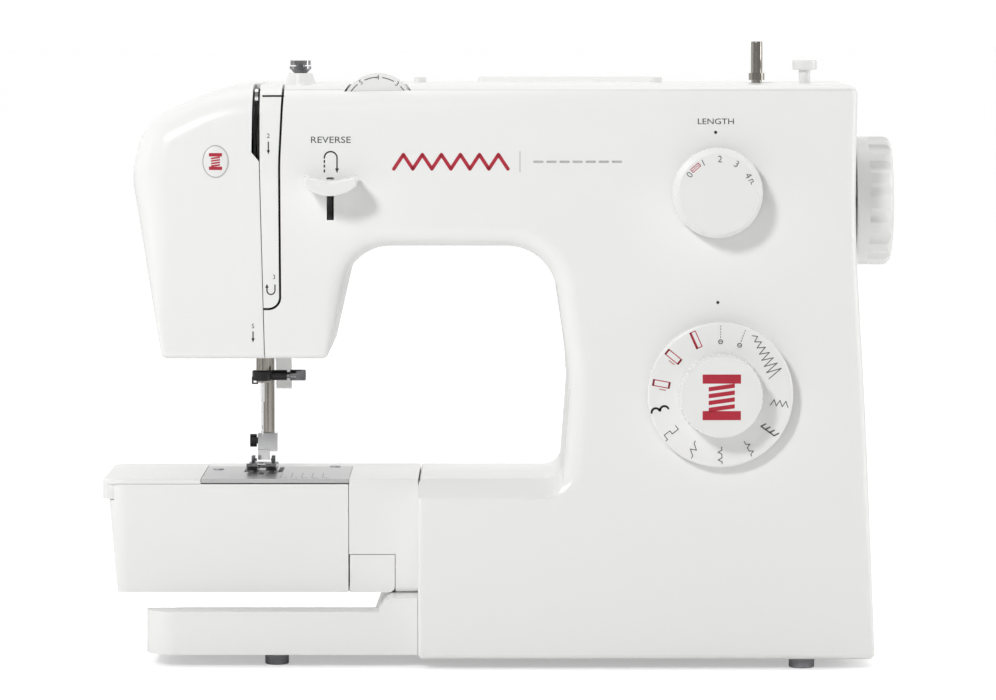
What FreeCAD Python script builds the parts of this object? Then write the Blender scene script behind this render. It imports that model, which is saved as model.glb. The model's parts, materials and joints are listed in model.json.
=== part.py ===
"""Free-arm domestic sewing machine, built up from its separate pieces.

Millimetres.  +X runs along the arm to the hand wheel, +Y to the back and +Z up.
The origin is under the middle of the machine, on the table.
"""
import FreeCAD, Part
import math
import os

V = FreeCAD.Vector

# ---------------------------------------------------------------- driving dimensions
HALF_LENGTH = 190.0        # end of the free arm to the middle, and middle to the hand wheel's face
BASE_Z = 5.0               # underside of the casing
BED_Z = 88.0               # sewing surface
ARM_Z = 200.5              # underside of the upper arm
HEAD_Z = 147.5             # underside of the head
TOP_Z = 277.0              # top of the casing
FRONT_BASE_Y, FRONT_TOP_Y = -70.0, -55.0
REAR_BASE_Y, REAR_TOP_Y = 85.0, 50.0
WALL = 2.5                 # moulded casing wall
SEAM = 0.3                 # gap between two casings
LID_GAP = 0.1              # gap under the top cover's edge
PLATE_Z = BASE_Z + 2.7     # top of the bottom plate
FLANGE = 2.0               # the covers' turned-in lower edge round the bottom plate
SPLIT_Y = 5.0              # plane between the front and rear casings
LID_Z = TOP_Z - WALL       # underside of the top cover
PLATE_END_X = -38.0        # left end of the casing's bed, where the free arm comes out
RUN = 0.05                 # radial clearance of a running shaft

SHAFT_Y, SHAFT_Z = 0.0, 220.0          # main shaft
SHAFT_R = 4.0
NEEDLE_X = -114.5                      # needle bar
NEEDLE_R = 3.0
PRESSER_X, PRESSER_Y, PRESSER_R = -112.5, 13.0, 3.25
NEEDLE_TRAVEL = 33.0
HOOK_Z = 58.0                          # shuttle hook, on the needle's line
LOWER_Y, LOWER_Z = 16.0, 58.0          # lower shaft
PULLEY_R, MOTOR_PULLEY_R = 30.0, 7.5
MOTOR_Y, MOTOR_Z = 36.0, 62.0

SLOT_LEFT, SLOT_RIGHT = -116.8, -112.9     # take-up lever's slot
STRIP_RIGHT = -104.2                       # right side of the thread guide strip
FACE_EDGE_Y = 12.0                         # rear edge of the face cover
FACE_HINGE = (-172.8, 13.0)

ARM_FRONT_Y, ARM_REAR_Y = -38.0, 42.0      # free arm
ARM_BOTTOM_Z = 33.3
ARM_LEFT_X = -187.0
PLATE_LEFT, PLATE_RIGHT = -142.3, -71.5    # needle plate
DOOR_PIN = (-181.0, 35.0)
DOOR_SWEEP = 70.35                         # circle between the bed cover's lip and the door's front

LENGTH_DIAL = (103.7, 226.1)
PATTERN_DIAL = (105.0, 131.0)
TENSION_DIAL = (-57.0, 265.0)
REVERSE_X = -79.4
REVERSE_PIVOT = (-25.0, 232.0)
TAKE_UP_PIVOT = (-12.0, 236.0)
LIFTER_PIVOT = (34.0, 163.0)
HANDLE_AXIS = (45.0, 271.0)
HANDLE_LEFT, HANDLE_RIGHT = -10.0, 76.0
WINDER_X = 125.2
SPOOL_PINS = {"spool_pin_left": -38.0, "spool_pin_right": 77.0}
SPOOL_Y = 18.0
KNOB_Y = -85.0                             # face of the pattern dial's knob
SWITCH_AXIS = (168.0, 39.0)                # the rocker switch's pivot, along Y

FRAME_FRONT_Y, FRAME_REAR_Y = 23.5, 30.5   # cast frame's back plate
MAIN_BEARINGS = [(-90.0, -80.0), (20.0, 32.0), (116.0, 130.0)]
LOWER_BEARINGS = [(-78.0, -68.0), (70.0, 82.0)]
BAR_GUIDES = [(153.0, 162.0), (212.0, 221.0)]
REVERSE_EARS = [(-91.4, -86.4), (-72.4, -67.4)]
SCREW_PLACES = [(-140, 200), (150, 245), (60, 30), (150, 150), (-100, 262)]
PLATE_SCREWS = [(-136.6, 9.0), (-80.0, 23.0)]
FACE_KNUCKLES = [(222.0, 228.0), (242.0, 248.0)]
REAR_KNUCKLE = (228.4, 241.6)
KNUCKLE_R = 2.2

APRON_FRONT, APRON_REAR = 0.24, 0.14       # fall of the bed in front of and behind the free arm's line

# corners of the casing seen from the front: x, z, corner radius
OUTLINE = [
    (178.8, BASE_Z, 3), (174.8, 112, 1500), (169.2, 210, 700), (170.6, TOP_Z, 5),
    (-131, TOP_Z, 80), (-167, 259.5, 20), (-174.8, 236, 40), (-159.3, HEAD_Z, 3),
    (-81, HEAD_Z, 3), (-68.8, ARM_Z, 22), (25, ARM_Z, 24), (34.2, 137, 120),
    (30.6, BED_Z, 9), (PLATE_END_X, BED_Z, 2.5), (PLATE_END_X, BASE_Z, 2.5),
]


# ---------------------------------------------------------------- shape helpers
def front_y(z):
    """The leaning front face at height z."""
    return FRONT_BASE_Y + (FRONT_TOP_Y - FRONT_BASE_Y) * (z - BASE_Z) / (TOP_Z - BASE_Z)


def rear_y(z):
    """The leaning rear face at height z."""
    return REAR_BASE_Y + (REAR_TOP_Y - REAR_BASE_Y) * (z - BASE_Z) / (TOP_Z - BASE_Z)


def box(x0, x1, y0, y1, z0, z1):
    return Part.makeBox(x1 - x0, y1 - y0, z1 - z0, V(x0, y0, z0))


def rod(axis, centre, radius, start, end):
    """Cylinder along an axis; centre holds the other two coordinates in X, Y, Z order."""
    u, v = centre
    base = {"X": V(start, u, v), "Y": V(u, start, v), "Z": V(u, v, start)}[axis]
    way = {"X": V(1, 0, 0), "Y": V(0, 1, 0), "Z": V(0, 0, 1)}[axis]
    return Part.makeCylinder(radius, end - start, base, way)


def tube(axis, centre, outer, inner, start, end):
    return rod(axis, centre, outer, start, end).cut(rod(axis, centre, inner, start - 1, end + 1))


def cone(axis, centre, r0, r1, start, end):
    u, v = centre
    base = {"X": V(start, u, v), "Y": V(u, start, v), "Z": V(u, v, start)}[axis]
    way = {"X": V(1, 0, 0), "Y": V(0, 1, 0), "Z": V(0, 0, 1)}[axis]
    return Part.makeCone(r0, r1, end - start, base, way)


def fuse(*shapes):
    return shapes[0].multiFuse(list(shapes[1:])).removeSplitter()


def cut(shape, *tools):
    for tool in tools:
        shape = shape.cut(tool)
    return shape


def lift(plane, a, b):
    """A point of a flat outline, put in space: XZ, YZ or XY."""
    return {"XZ": V(a, 0, b), "YZ": V(0, a, b), "XY": V(a, b, 0)}[plane]


def outline(points, plane):
    """Closed outline of straight runs; each corner is (a, b) or (a, b, radius)."""
    corners = [(p[0], p[1], p[2] if len(p) > 2 else 0.0) for p in points]
    starts, ends, middles = [], [], []
    for i, (a, b, radius) in enumerate(corners):
        here = lift(plane, a, b)
        before = lift(plane, *corners[i - 1][:2]).sub(here).normalize()
        after = lift(plane, *corners[(i + 1) % len(corners)][:2]).sub(here).normalize()
        half = math.acos(max(-1.0, min(1.0, before.dot(after)))) / 2
        reach = radius / math.tan(half)
        starts.append(here + before * reach)
        ends.append(here + after * reach)
        middle = here
        if radius > 0:
            middle = here + (before + after).normalize() * (radius / math.sin(half) - radius)
        middles.append(middle)
    edges = []
    for i in range(len(corners)):
        follower = (i + 1) % len(corners)
        if corners[i][2] > 0:
            edges.append(Part.Arc(starts[i], middles[i], ends[i]).toShape())
        if starts[follower].sub(ends[i]).Length > 1e-6:
            edges.append(Part.LineSegment(ends[i], starts[follower]).toShape())
    return Part.Wire(edges)


def prism(points, plane, start, end):
    """A flat outline pushed out along the axis across it, from start to end."""
    way = {"XZ": V(0, 1, 0), "YZ": V(1, 0, 0), "XY": V(0, 0, 1)}[plane]
    solid = Part.Face(outline(points, plane)).extrude(way * (end - start))
    solid.translate(way * start)
    return solid


def inset_corners(points, depth):
    """The same outline moved inwards by depth; outer corners get tighter, inner ones wider."""
    moved = []
    count = len(points)
    for i, (x, z, radius) in enumerate(points):
        px, pz, _ = points[i - 1]
        nx, nz, _ = points[(i + 1) % count]
        d1 = V(x - px, 0, z - pz).normalize()
        d2 = V(nx - x, 0, nz - z).normalize()
        n1, n2 = V(-d1.z, 0, d1.x), V(-d2.z, 0, d2.x)
        turn = d1.x * d2.z - d1.z * d2.x
        scale = depth / (1 + n1.dot(n2))
        shift = (n1 + n2) * scale
        rounder = max(radius - depth, 1.0) if turn > 0 else radius + depth
        moved.append((x + shift.x, z + shift.z, rounder))
    return moved


def solid_of(shape):
    """The largest solid of a result, as a plain solid."""
    return sorted(shape.Solids, key=lambda s: -s.Volume)[0]


def round_edges(shape, edges, radius_at):
    """Fillet a chain of edges with a radius that changes along it."""
    doc = FreeCAD.newDocument()
    base = doc.addObject("Part::Feature", "base")
    base.Shape = shape
    feature = doc.addObject("Part::Fillet", "rounded")
    feature.Base = base
    rows = []
    for number, edge in enumerate(base.Shape.Edges, 1):
        for wanted in edges:
            near = (edge.CenterOfMass - wanted.CenterOfMass).Length < 1e-6
            if near and abs(edge.Length - wanted.Length) < 1e-6:
                first = edge.valueAt(edge.FirstParameter)
                last = edge.valueAt(edge.LastParameter)
                rows.append((number, radius_at(last), radius_at(first)))
                break
    feature.Edges = rows
    doc.recompute()
    result = feature.Shape.copy()
    FreeCAD.closeDocument(doc.Name)
    return solid_of(result)


def soften(shape, radius, pick=None):
    """Fillet every edge that pick accepts, or leave the shape alone if that can't be done."""
    edges = [e for e in shape.Edges if pick is None or pick(e)]
    try:
        rounded = shape.makeFillet(radius, edges)
    except Exception:
        return shape
    return rounded if rounded.isValid() and rounded.Solids else shape


def along(axis):
    """Picks straight edges that run along an axis."""
    way = {"X": V(1, 0, 0), "Y": V(0, 1, 0), "Z": V(0, 0, 1)}[axis]

    def pick(edge):
        if not isinstance(edge.Curve, Part.Line):
            return False
        return abs(edge.tangentAt(edge.FirstParameter).dot(way)) > 0.999
    return pick


def knurl(shape, centre, radius, y0, y1, count, depth):
    """Grip flutes round a dial whose axis runs along Y."""
    flutes = []
    for i in range(count):
        angle = 2 * math.pi * i / count
        at = (centre[0] + radius * math.cos(angle), centre[1] + radius * math.sin(angle))
        flutes.append(rod("Y", at, depth, y0, y1))
    return shape.cut(Part.makeCompound(flutes))


# ---------------------------------------------------------------- casing
def casing_solid(depth):
    """The whole casing as a solid, moved inwards by depth."""
    def radius_at(p):
        if p.x < PLATE_END_X + 4 + depth and p.z < BED_Z + 3:
            r = 2.2
        elif p.z < BASE_Z + 4 + depth:
            r = 1.6 if p.x < 170 else 2.5
        elif p.z < HEAD_Z + 3.1 + depth and p.x < -70:
            r = 2.8
        elif p.x < -140:
            r = 16.0
        elif p.z > 272 - depth or p.x > 155:
            r = 4.6
        else:
            r = 9.0
        return max(r - depth, 0.8)

    corners = inset_corners(OUTLINE, depth) if depth else OUTLINE
    slab = prism(corners, "XZ", -110, 110)
    low, high = BASE_Z - 10, TOP_Z + 10
    side = prism([(front_y(low) + depth, low), (rear_y(low) - depth, low),
                  (rear_y(high) - depth, high), (front_y(high) + depth, high)], "YZ", -220, 220)
    body = solid_of(slab.common(side))
    for sign in (-1, 1):
        flat = [f for f in body.Faces if isinstance(f.Surface, Part.Plane)
                and abs(f.Surface.Axis.y) > 0.9 and f.CenterOfMass.y * sign > 20]
        limit = 16.0 if sign < 0 else 6.0
        body = round_edges(body, flat[0].Edges, lambda p: min(radius_at(p), limit))
    return solid_of(cut(body, *aprons(depth)))


def aprons(depth):
    """The space over the bed where it falls away in front of and behind the free arm's line."""
    throat = [(PLATE_END_X - 20, BED_Z - depth), (30.6 + depth, BED_Z - depth, 9 + depth),
              (34.2 + depth, 137), (PLATE_END_X - 20, 137)]
    face = Part.Face(outline(throat, "XZ"))
    spaces = []
    for start, run, fall in ((ARM_FRONT_Y, -70, APRON_FRONT), (ARM_REAR_Y, 70, APRON_REAR)):
        space = face.extrude(V(0, run, -abs(run) * fall))
        space.translate(V(0, start, 0))
        spaces.append(space)
    return spaces


OUTER = casing_solid(0.0)
CAVITY = casing_solid(WALL)
SHELL = OUTER.cut(CAVITY)


def seam_x(z):
    """The joint line between the face cover and the front cover."""
    return -113.2 + max(0.0, 238.0 - z) * 0.027


def face_zone():
    """Everything left of the joint line, as far back as the face cover's rear edge."""
    return prism([(seam_x(300), 300), (-220, 300), (-220, 120), (seam_x(120), 120),
                  (seam_x(238), 238)], "XZ", -120, FACE_EDGE_Y)


def head_zone():
    """Left part of the head, behind the face cover."""
    return box(-220, SLOT_RIGHT, FACE_EDGE_Y + 2.2, 120, 120, 300)


def strip_outline(grow):
    """The thread guide strip: straight sides and a round lower right corner."""
    return [(seam_x(300) + 0.4 - grow, 300), (seam_x(238) + 0.4 - grow, 238),
            (seam_x(172) + 0.4 - grow, 171.5 - grow), (STRIP_RIGHT + 0.5 + grow, 171.5 - grow, 5 + grow),
            (STRIP_RIGHT + grow, 240, 150), (STRIP_RIGHT + 3 + grow, 300)]


def front_cover():
    zone = box(-220, 220, -120, SPLIT_Y - SEAM / 2, 0, LID_Z - LID_GAP).cut(base_opening(SEAM))
    shell = SHELL.common(zone).cut(face_zone())
    left_of_seam = prism([(seam_x(300) + 0.4, 300), (-220, 300), (-220, 120), (seam_x(120) + 0.4, 120),
                          (seam_x(238) + 0.4, 238)], "XZ", -120, 120)
    shell = shell.cut(left_of_seam)
    bosses = [
        rod("Y", LENGTH_DIAL, 19.5, -59.6, front_y(LENGTH_DIAL[1]) + 2.2),
        rod("Y", PATTERN_DIAL, 32.5, -65.5, front_y(PATTERN_DIAL[1]) + 3.6),
    ]
    shell = fuse(shell, *[b.cut(CAVITY) for b in bosses])
    holes = [
        prism(strip_outline(1.1), "XZ", -120, -40),
        rod("Y", LENGTH_DIAL, 4.0 + 0.5, -80, -40),
        rod("Y", PATTERN_DIAL, 6.0 + 0.5, -90, -40),
        box(REVERSE_X - 1.7, REVERSE_X + 1.7, -90, -45, 213.0, 233.2),
        arm_socket(),
        rod("X", (SHAFT_Y, SHAFT_Z), 9.0, 150, 190),
        tension_pocket(),
        head_mouth(),
        switch_hole(), inlet_hole(),
    ]
    return solid_of(cut(shell, *holes))


def arm_socket():
    """Where the free arm goes into the casing's left end."""
    return box(PLATE_END_X - 10, PLATE_END_X + 6, ARM_FRONT_Y - SEAM, ARM_REAR_Y + SEAM,
               ARM_BOTTOM_Z - SEAM, BED_Z - WALL - 0.1)


def tension_pocket():
    """A dished recess in the top front edge, round the tension dial."""
    x, z = TENSION_DIAL
    dish = Part.makeSphere(30.0, V(x, -62.0, TOP_Z + 26.0))
    well = rod("Y", (x, z), 17.3 + 0.9, -50.0, -36.5)
    return fuse(dish.common(box(x - 30, x + 30, -70, -48, 270, 300)), well)


def head_mouth():
    """Opening under the head for the needle bar, the presser bar and the lamp."""
    return box(-150, -96, -18, 26, HEAD_Z - 5, HEAD_Z + 10)


def switch_hole():
    return box(165, 185, 42.4, 55.6, 31.4, 46.6)


def inlet_hole():
    return box(165, 185, 14, 38, 28, 50)


def face_cover():
    shell = SHELL.common(face_zone())
    slot = prism([(SLOT_LEFT, 245), (SLOT_RIGHT + 2, 238), (SLOT_RIGHT + 2, 300),
                  (SLOT_LEFT + 1.0, 300)], "XZ", -120, -24)
    shell = solid_of(cut(shell, slot, head_mouth()))
    room = rod("Z", FACE_HINGE, KNUCKLE_R + SEAM, REAR_KNUCKLE[0] - SEAM, REAR_KNUCKLE[1] + SEAM)
    knuckles = [rod("Z", FACE_HINGE, KNUCKLE_R, *span) for span in FACE_KNUCKLES]
    webs = [box(FACE_HINGE[0], FACE_HINGE[0] + 2.4, FACE_EDGE_Y - 3, FACE_HINGE[1], *span)
            for span in FACE_KNUCKLES]
    shell = fuse(shell.cut(room), *knuckles, *webs)
    return solid_of(cut(shell, rod("Z", FACE_HINGE, 1.0 + RUN, 200, 260)))


def thread_guide_strip():
    """The raised strip that the thread runs down, between the two channel lines."""
    strip = SHELL.common(prism(strip_outline(0.0), "XZ", -120, -41.0))
    ends = box(-130, -90, -120, -38, 160, 300)
    return solid_of(strip.common(ends))


def rear_cover():
    zone = box(SLOT_RIGHT, 220, SPLIT_Y + SEAM / 2, 120, 0, LID_Z - LID_GAP).cut(base_opening(SEAM))
    shell = fuse(SHELL.common(zone), SHELL.common(head_zone()))
    trough_hole = handle_well(0.0)
    trough = handle_well(WALL).cut(trough_hole).common(OUTER)
    trough = trough.common(box(-30, 100, 20, 90, 250, LID_Z - LID_GAP))
    shell = fuse(shell.cut(trough_hole), trough)
    knuckle = rod("Z", FACE_HINGE, KNUCKLE_R, *REAR_KNUCKLE)
    web = box(FACE_HINGE[0], FACE_HINGE[0] + 2.4, FACE_HINGE[1], FACE_EDGE_Y + 5, *REAR_KNUCKLE)
    rooms = [rod("Z", FACE_HINGE, KNUCKLE_R + SEAM, low - SEAM, high + SEAM)
             for low, high in FACE_KNUCKLES]
    pins = rod("X", HANDLE_AXIS, 2.0, HANDLE_LEFT - 10, HANDLE_RIGHT + 10)
    vents = [box(x, x + 3, 40, 90, 70, 110) for x in range(64, 160, 8)]
    lifter_gap = box(-112.0, -96.0, 30, 90, HEAD_Z - 8, 168)
    screws = [rod("Y", (x, z), 2.6, 10, 90) for x, z in SCREW_PLACES]
    shell = fuse(cut(shell, *rooms), knuckle, web)
    return solid_of(cut(shell, rod("Z", FACE_HINGE, 1.0, 200, 260), pins, Part.makeCompound(vents),
                        lifter_gap, arm_socket(), head_mouth(), switch_hole(), inlet_hole(),
                        rod("X", (SHAFT_Y, SHAFT_Z), 9.0, 150, 190), Part.makeCompound(screws)))


def handle_well(grow):
    """The trough that the handle's hinge lies in, at the top rear edge."""
    return box(HANDLE_LEFT - 2 - grow, HANDLE_RIGHT + 2 + grow, 33.5 - grow, 90, 259.8 - grow, 300)


def cover_screws():
    screws = []
    for x, z in SCREW_PLACES:
        head_y = rear_y(z) - 4
        screws.append(fuse(rod("Y", (x, z), 2.5, head_y - 6, head_y),
                           rod("Y", (x, z), 1.5, head_y - 16, head_y - 5)))
    return Part.makeCompound(screws)


def top_cover():
    zone = box(SLOT_RIGHT + 0.4, 220, -120, 120, LID_Z, 300)
    lid = SHELL.common(zone)
    holes = [handle_well(0.0), tension_pocket(), prism(strip_outline(1.1), "XZ", -120, -40.0)]
    guides = []
    for x in SPOOL_PINS.values():
        guides.append(rod("Z", (x, SPOOL_Y), 6.0, LID_Z - 3, LID_Z + 1))
        holes.append(rod("Z", (x, SPOOL_Y), 3.0 + RUN, 250, 300))
    slot = fuse(rod("Z", (WINDER_X, 0), 4.4, 250, 300), rod("Z", (WINDER_X + 4, 0), 4.4, 250, 300),
                box(WINDER_X, WINDER_X + 4, -4.4, 4.4, 250, 300))
    return solid_of(cut(fuse(solid_of(lid), *guides), slot, *holes))


def base_opening(grow):
    """The space in the covers' lower edge that the bottom plate lies in."""
    inset = WALL + FLANGE - grow
    return box(PLATE_END_X + inset, OUTLINE[0][0] - inset, FRONT_BASE_Y + inset, REAR_BASE_Y - inset,
               BASE_Z - grow, PLATE_Z + grow)


def bottom_plate():
    vents = [box(x, x + 4, -30, 30, 0, 20) for x in range(0, 60, 10)]
    return solid_of(base_opening(0.0).cut(Part.makeCompound(vents)))


def base_tray():
    """The foot of the machine that runs under the free arm."""
    plan = [(-168, -60, 15), (PLATE_END_X - SEAM, -60), (PLATE_END_X - SEAM, 45), (-168, 45, 15)]
    floor = prism(plan, "XY", 6.0, 16.0)
    lip = prism(plan, "XY", 6.0, 26.5).common(box(-200, 0, -70, -42, 0, 60))
    gusset = prism([(-61, 16), (PLATE_END_X - SEAM, 16), (PLATE_END_X - SEAM, 33.0), (-52, 33.0, 4),
                    (-57, 26.5, 4)], "XZ", -59.9, 44)
    tray = fuse(floor, lip, gusset.common(prism(plan, "XY", 6.0, 33.0)))
    tray = soften(solid_of(tray), 2.0, lambda e: e.CenterOfMass.z > 24 and e.CenterOfMass.y < -55)
    hollow = box(-160, PLATE_END_X - 4, -56, 41, 0, 13.5)
    return solid_of(tray.cut(hollow))


def arm_plan(depth, left):
    """Free arm from above: straight sides and rounded left corners."""
    r = 9.0 - depth
    return [(left + depth, ARM_FRONT_Y + depth, r), (PLATE_END_X + 5, ARM_FRONT_Y + depth),
            (PLATE_END_X + 5, ARM_REAR_Y - depth), (left + depth, ARM_REAR_Y - depth, r)]


def arm_solid(depth, left, bottom, top):
    """Free arm block with its left end leaning in towards the bottom."""
    block = prism(arm_plan(depth, left), "XY", bottom, top)
    lean = prism([(left + depth, 78), (left + depth, 100), (left - 20, 100), (left - 20, 0),
                  (left + depth + 7.5, 0)], "XZ", -60, 60)
    return solid_of(block.cut(lean))


def free_arm_shell():
    outer = arm_solid(0, ARM_LEFT_X + 3.2, ARM_BOTTOM_Z, BED_Z)
    inner = arm_solid(WALL, ARM_LEFT_X + 3.2, ARM_BOTTOM_Z + WALL, BED_Z - WALL)
    shell = outer.cut(inner)
    shell = soften(shell, 3.0, lambda e: e.CenterOfMass.z < ARM_BOTTOM_Z + 0.1
                   and e.CenterOfMass.y < ARM_FRONT_Y + 3 and e.Length > 60)
    door_way = box(-220, PLATE_RIGHT, ARM_FRONT_Y - 5, ARM_FRONT_Y + 5, ARM_BOTTOM_Z - 1, 100)
    end_way = box(-220, ARM_LEFT_X + 12, ARM_FRONT_Y - 5, ARM_REAR_Y - 12, ARM_BOTTOM_Z + 4, 100)
    top_way = fuse(box(-220, PLATE_LEFT - 0.1, -60, 60, BED_Z - WALL - 0.1, 100),
                   box(PLATE_LEFT - 0.2, PLATE_RIGHT + 0.2, -60, 26.2, BED_Z - WALL - 0.1, 100))
    panel_way = box(PLATE_RIGHT - 1, -49.2, ARM_FRONT_Y - 5, ARM_FRONT_Y + 5, ARM_BOTTOM_Z - 1, 51.7)
    ledge = box(-176, PLATE_RIGHT, ARM_REAR_Y - 6, ARM_REAR_Y - 0.5, BED_Z - 7, BED_Z - WALL - 0.3)
    hinge_pocket = rod("Z", DOOR_PIN, 6.5, 38.0, 75.0)
    pin_hole = rod("Z", DOOR_PIN, 1.0, 30, 81)
    root_way = box(PLATE_END_X - SEAM, 0, -60, 60, BED_Z - WALL - 0.4, 100)
    shell = cut(shell, door_way, end_way, top_way, panel_way, root_way)
    return solid_of(cut(fuse(solid_of(shell), ledge), pin_hole, hinge_pocket))


def bed_cover():
    """White cover over the left end of the free arm, turned down at the end."""
    plate = arm_solid(0, -HALF_LENGTH, 78.0, BED_Z).common(box(-220, PLATE_LEFT - 0.3, -60, 60, 70, 100))
    hollow = arm_solid(WALL, -HALF_LENGTH, 70.0, BED_Z - 2.4)
    cover = solid_of(plate.cut(hollow))
    cover = soften(cover, 1.6, lambda e: e.CenterOfMass.z > BED_Z - 0.01
                   and e.CenterOfMass.x < PLATE_LEFT - 2 and e.BoundBox.XMax < PLATE_LEFT)
    front_gap = box(-176, -100, -60, ARM_FRONT_Y + 3, 70, BED_Z - 2.4)
    rear_gap = box(ARM_LEFT_X + 2.8, -100, ARM_REAR_Y - 10, 60, 70, BED_Z - 2.4)
    door_way = tube("Z", DOOR_PIN, DOOR_SWEEP + 60, DOOR_SWEEP - SEAM / 2, 70, BED_Z - 2.4)
    return solid_of(cut(cover, front_gap, rear_gap, door_way))


def needle_plate():
    plate = box(PLATE_LEFT, PLATE_RIGHT, ARM_FRONT_Y, 26.0, BED_Z - 2.0, BED_Z)
    slots = []
    for x in (NEEDLE_X - 9.0, NEEDLE_X - 4.6, NEEDLE_X + 3.2, NEEDLE_X + 7.6):
        slots.append(box(x, x + 2.2, -4.0, 20.0, 80, 100))
    slots.append(box(NEEDLE_X - 3.5, NEEDLE_X + 3.5, -0.9, 0.9, 80, 100))
    slots.append(box(NEEDLE_X - 1.1, NEEDLE_X + 1.1, -16.0, -6.5, 80, 100))
    screws = [rod("Z", at, 2.6, 80, 100) for at in PLATE_SCREWS]
    return solid_of(cut(plate, *slots, *screws))


def needle_plate_screws():
    screws = []
    for x, y in PLATE_SCREWS:
        head = fuse(rod("Z", (x, y), 2.6, BED_Z - 1.6, BED_Z + 0.5),
                    rod("Z", (x, y), 1.5, BED_Z - 7, BED_Z - 1.0))
        screws.append(head.cut(box(x - 3, x + 3, y - 0.4, y + 0.4, BED_Z - 0.3, BED_Z + 1)))
    return Part.makeCompound(screws)


def arm_front_panel():
    """Small panel in the free arm's front, right of the shuttle door."""
    panel = prism([(PLATE_RIGHT + 0.4, 51.4), (-49.5, 51.4), (-49.5, ARM_BOTTOM_Z, 3),
                   (PLATE_RIGHT + 0.4, ARM_BOTTOM_Z)], "XZ", ARM_FRONT_Y, ARM_FRONT_Y + WALL)
    rib = box(PLATE_RIGHT + 2, -51, ARM_FRONT_Y + WALL, ARM_FRONT_Y + 5, 38, 40)
    return fuse(panel, rib)


def shuttle_door():
    """Door over the shuttle: the arm's front and left end in one piece."""
    outer = arm_solid(0, ARM_LEFT_X, ARM_BOTTOM_Z, BED_Z - 2.6)
    inner = arm_solid(WALL, ARM_LEFT_X, ARM_BOTTOM_Z - 5, BED_Z)
    shell = outer.cut(inner)
    rest = fuse(box(ARM_LEFT_X + 11, 0, ARM_FRONT_Y + WALL, 60, 0, 100),
                box(PLATE_RIGHT - 0.3, 0, -60, 60, 0, 100),
                box(-220, 0, ARM_REAR_Y - 9.5, 60, 0, 100),
                rod("Z", DOOR_PIN, DOOR_SWEEP + SEAM / 2, 77.6, 100))
    door = solid_of(shell.cut(rest))
    lugs = [box(DOOR_PIN[0] - 1.8, DOOR_PIN[0] + 1.0, 30.0, DOOR_PIN[1], z, z + 5) for z in (40.0, 68.0)]
    rings = [rod("Z", DOOR_PIN, 2.6, z, z + 5) for z in (40.0, 68.0)]
    door = fuse(door, *lugs, *rings)
    return solid_of(door.cut(rod("Z", DOOR_PIN, 1.0 + RUN, 30, 90)))


# ---------------------------------------------------------------- frame and drive
def main_frame():
    """Cast frame: a C-shaped back plate with lugs for the shafts and bars."""
    plate = prism([(-135, 156, 6), (-88, 156, 6), (-88, 206), (44, 206, 14), (44, 80), (-170, 80, 4),
                   (-170, 44, 4), (96, 44, 6), (96, 206), (132, 206, 4), (132, 270, 8),
                   (-135, 270, 20)], "XZ", FRAME_FRONT_Y, FRAME_REAR_Y)
    lugs = []
    for x0, x1 in MAIN_BEARINGS:
        lugs += [rod("X", (SHAFT_Y, SHAFT_Z), 12.0, x0, x1), box(x0, x1, 0, 25, 212, 228)]
    for x0, x1 in LOWER_BEARINGS:
        lugs.append(box(x0, x1, LOWER_Y - 9, 25, LOWER_Z - 9, LOWER_Z + 9))
    for z0, z1 in BAR_GUIDES:
        lugs += [box(-124.0, -109.4, -8, 25, z0, z1), box(-124.0, -104.0, 7.5, 25, z0, z1)]
    for x0, x1 in REVERSE_EARS:
        lugs.append(box(x0, x1, REVERSE_PIVOT[0] - 5, 25, REVERSE_PIVOT[1] - 4, REVERSE_PIVOT[1] + 5))
    lugs.append(box(-126.0, -119.0, TAKE_UP_PIVOT[0] - 5, 25, 230, 242))
    lugs.append(box(-118.0, -90.0, 25, 44, 157, 170))
    holes = [rod("X", (SHAFT_Y, SHAFT_Z), 7.0, x0 - 1, x1 + 1) for x0, x1 in MAIN_BEARINGS]
    holes += [rod("X", (LOWER_Y, LOWER_Z), 7.0, x0 - 1, x1 + 1) for x0, x1 in LOWER_BEARINGS]
    for z0, z1 in BAR_GUIDES:
        holes.append(rod("Z", (NEEDLE_X, 0), 4.6, z0 - 1, z1 + 1))
        holes.append(rod("Z", (PRESSER_X, PRESSER_Y), 5.0, z0 - 1, z1 + 1))
    holes.append(box(-113.0, -95.0, 26, 60, 150, 172))
    holes.append(rod("X", LIFTER_PIVOT, 2.0, -130, -80))
    holes.append(rod("X", TAKE_UP_PIVOT, 2.0, -130, -110))
    holes.append(rod("X", REVERSE_PIVOT, 2.0, -95, -60))
    return solid_of(cut(fuse(plate, *lugs), *holes))


def bushings():
    """Bronze bushings pressed into the frame's lugs."""
    rings = [tube("X", (SHAFT_Y, SHAFT_Z), 7.0, SHAFT_R + RUN, *span) for span in MAIN_BEARINGS]
    rings += [tube("X", (LOWER_Y, LOWER_Z), 7.0, SHAFT_R + RUN, *span) for span in LOWER_BEARINGS]
    for span in BAR_GUIDES:
        rings.append(tube("Z", (NEEDLE_X, 0), 4.6, NEEDLE_R + RUN, *span))
        rings.append(tube("Z", (PRESSER_X, PRESSER_Y), 5.0, PRESSER_R + RUN, *span))
    return Part.makeCompound(rings)


def main_shaft():
    return rod("X", (SHAFT_Y, SHAFT_Z), SHAFT_R, -94.0, 186.0)


def main_crank():
    """Crank disc with its counterweight and stub pin."""
    disc = rod("X", (SHAFT_Y, SHAFT_Z), 20.0, -101.5, -94.0)
    relief = [rod("X", (SHAFT_Y + s * 15.0, SHAFT_Z + 9.0), 6.0, -103, -93) for s in (-1, 1)]
    pin = rod("X", (SHAFT_Y, SHAFT_Z + NEEDLE_TRAVEL / 2), 3.0, -103.5, -101.0)
    return solid_of(fuse(cut(disc, *relief), pin))


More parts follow.
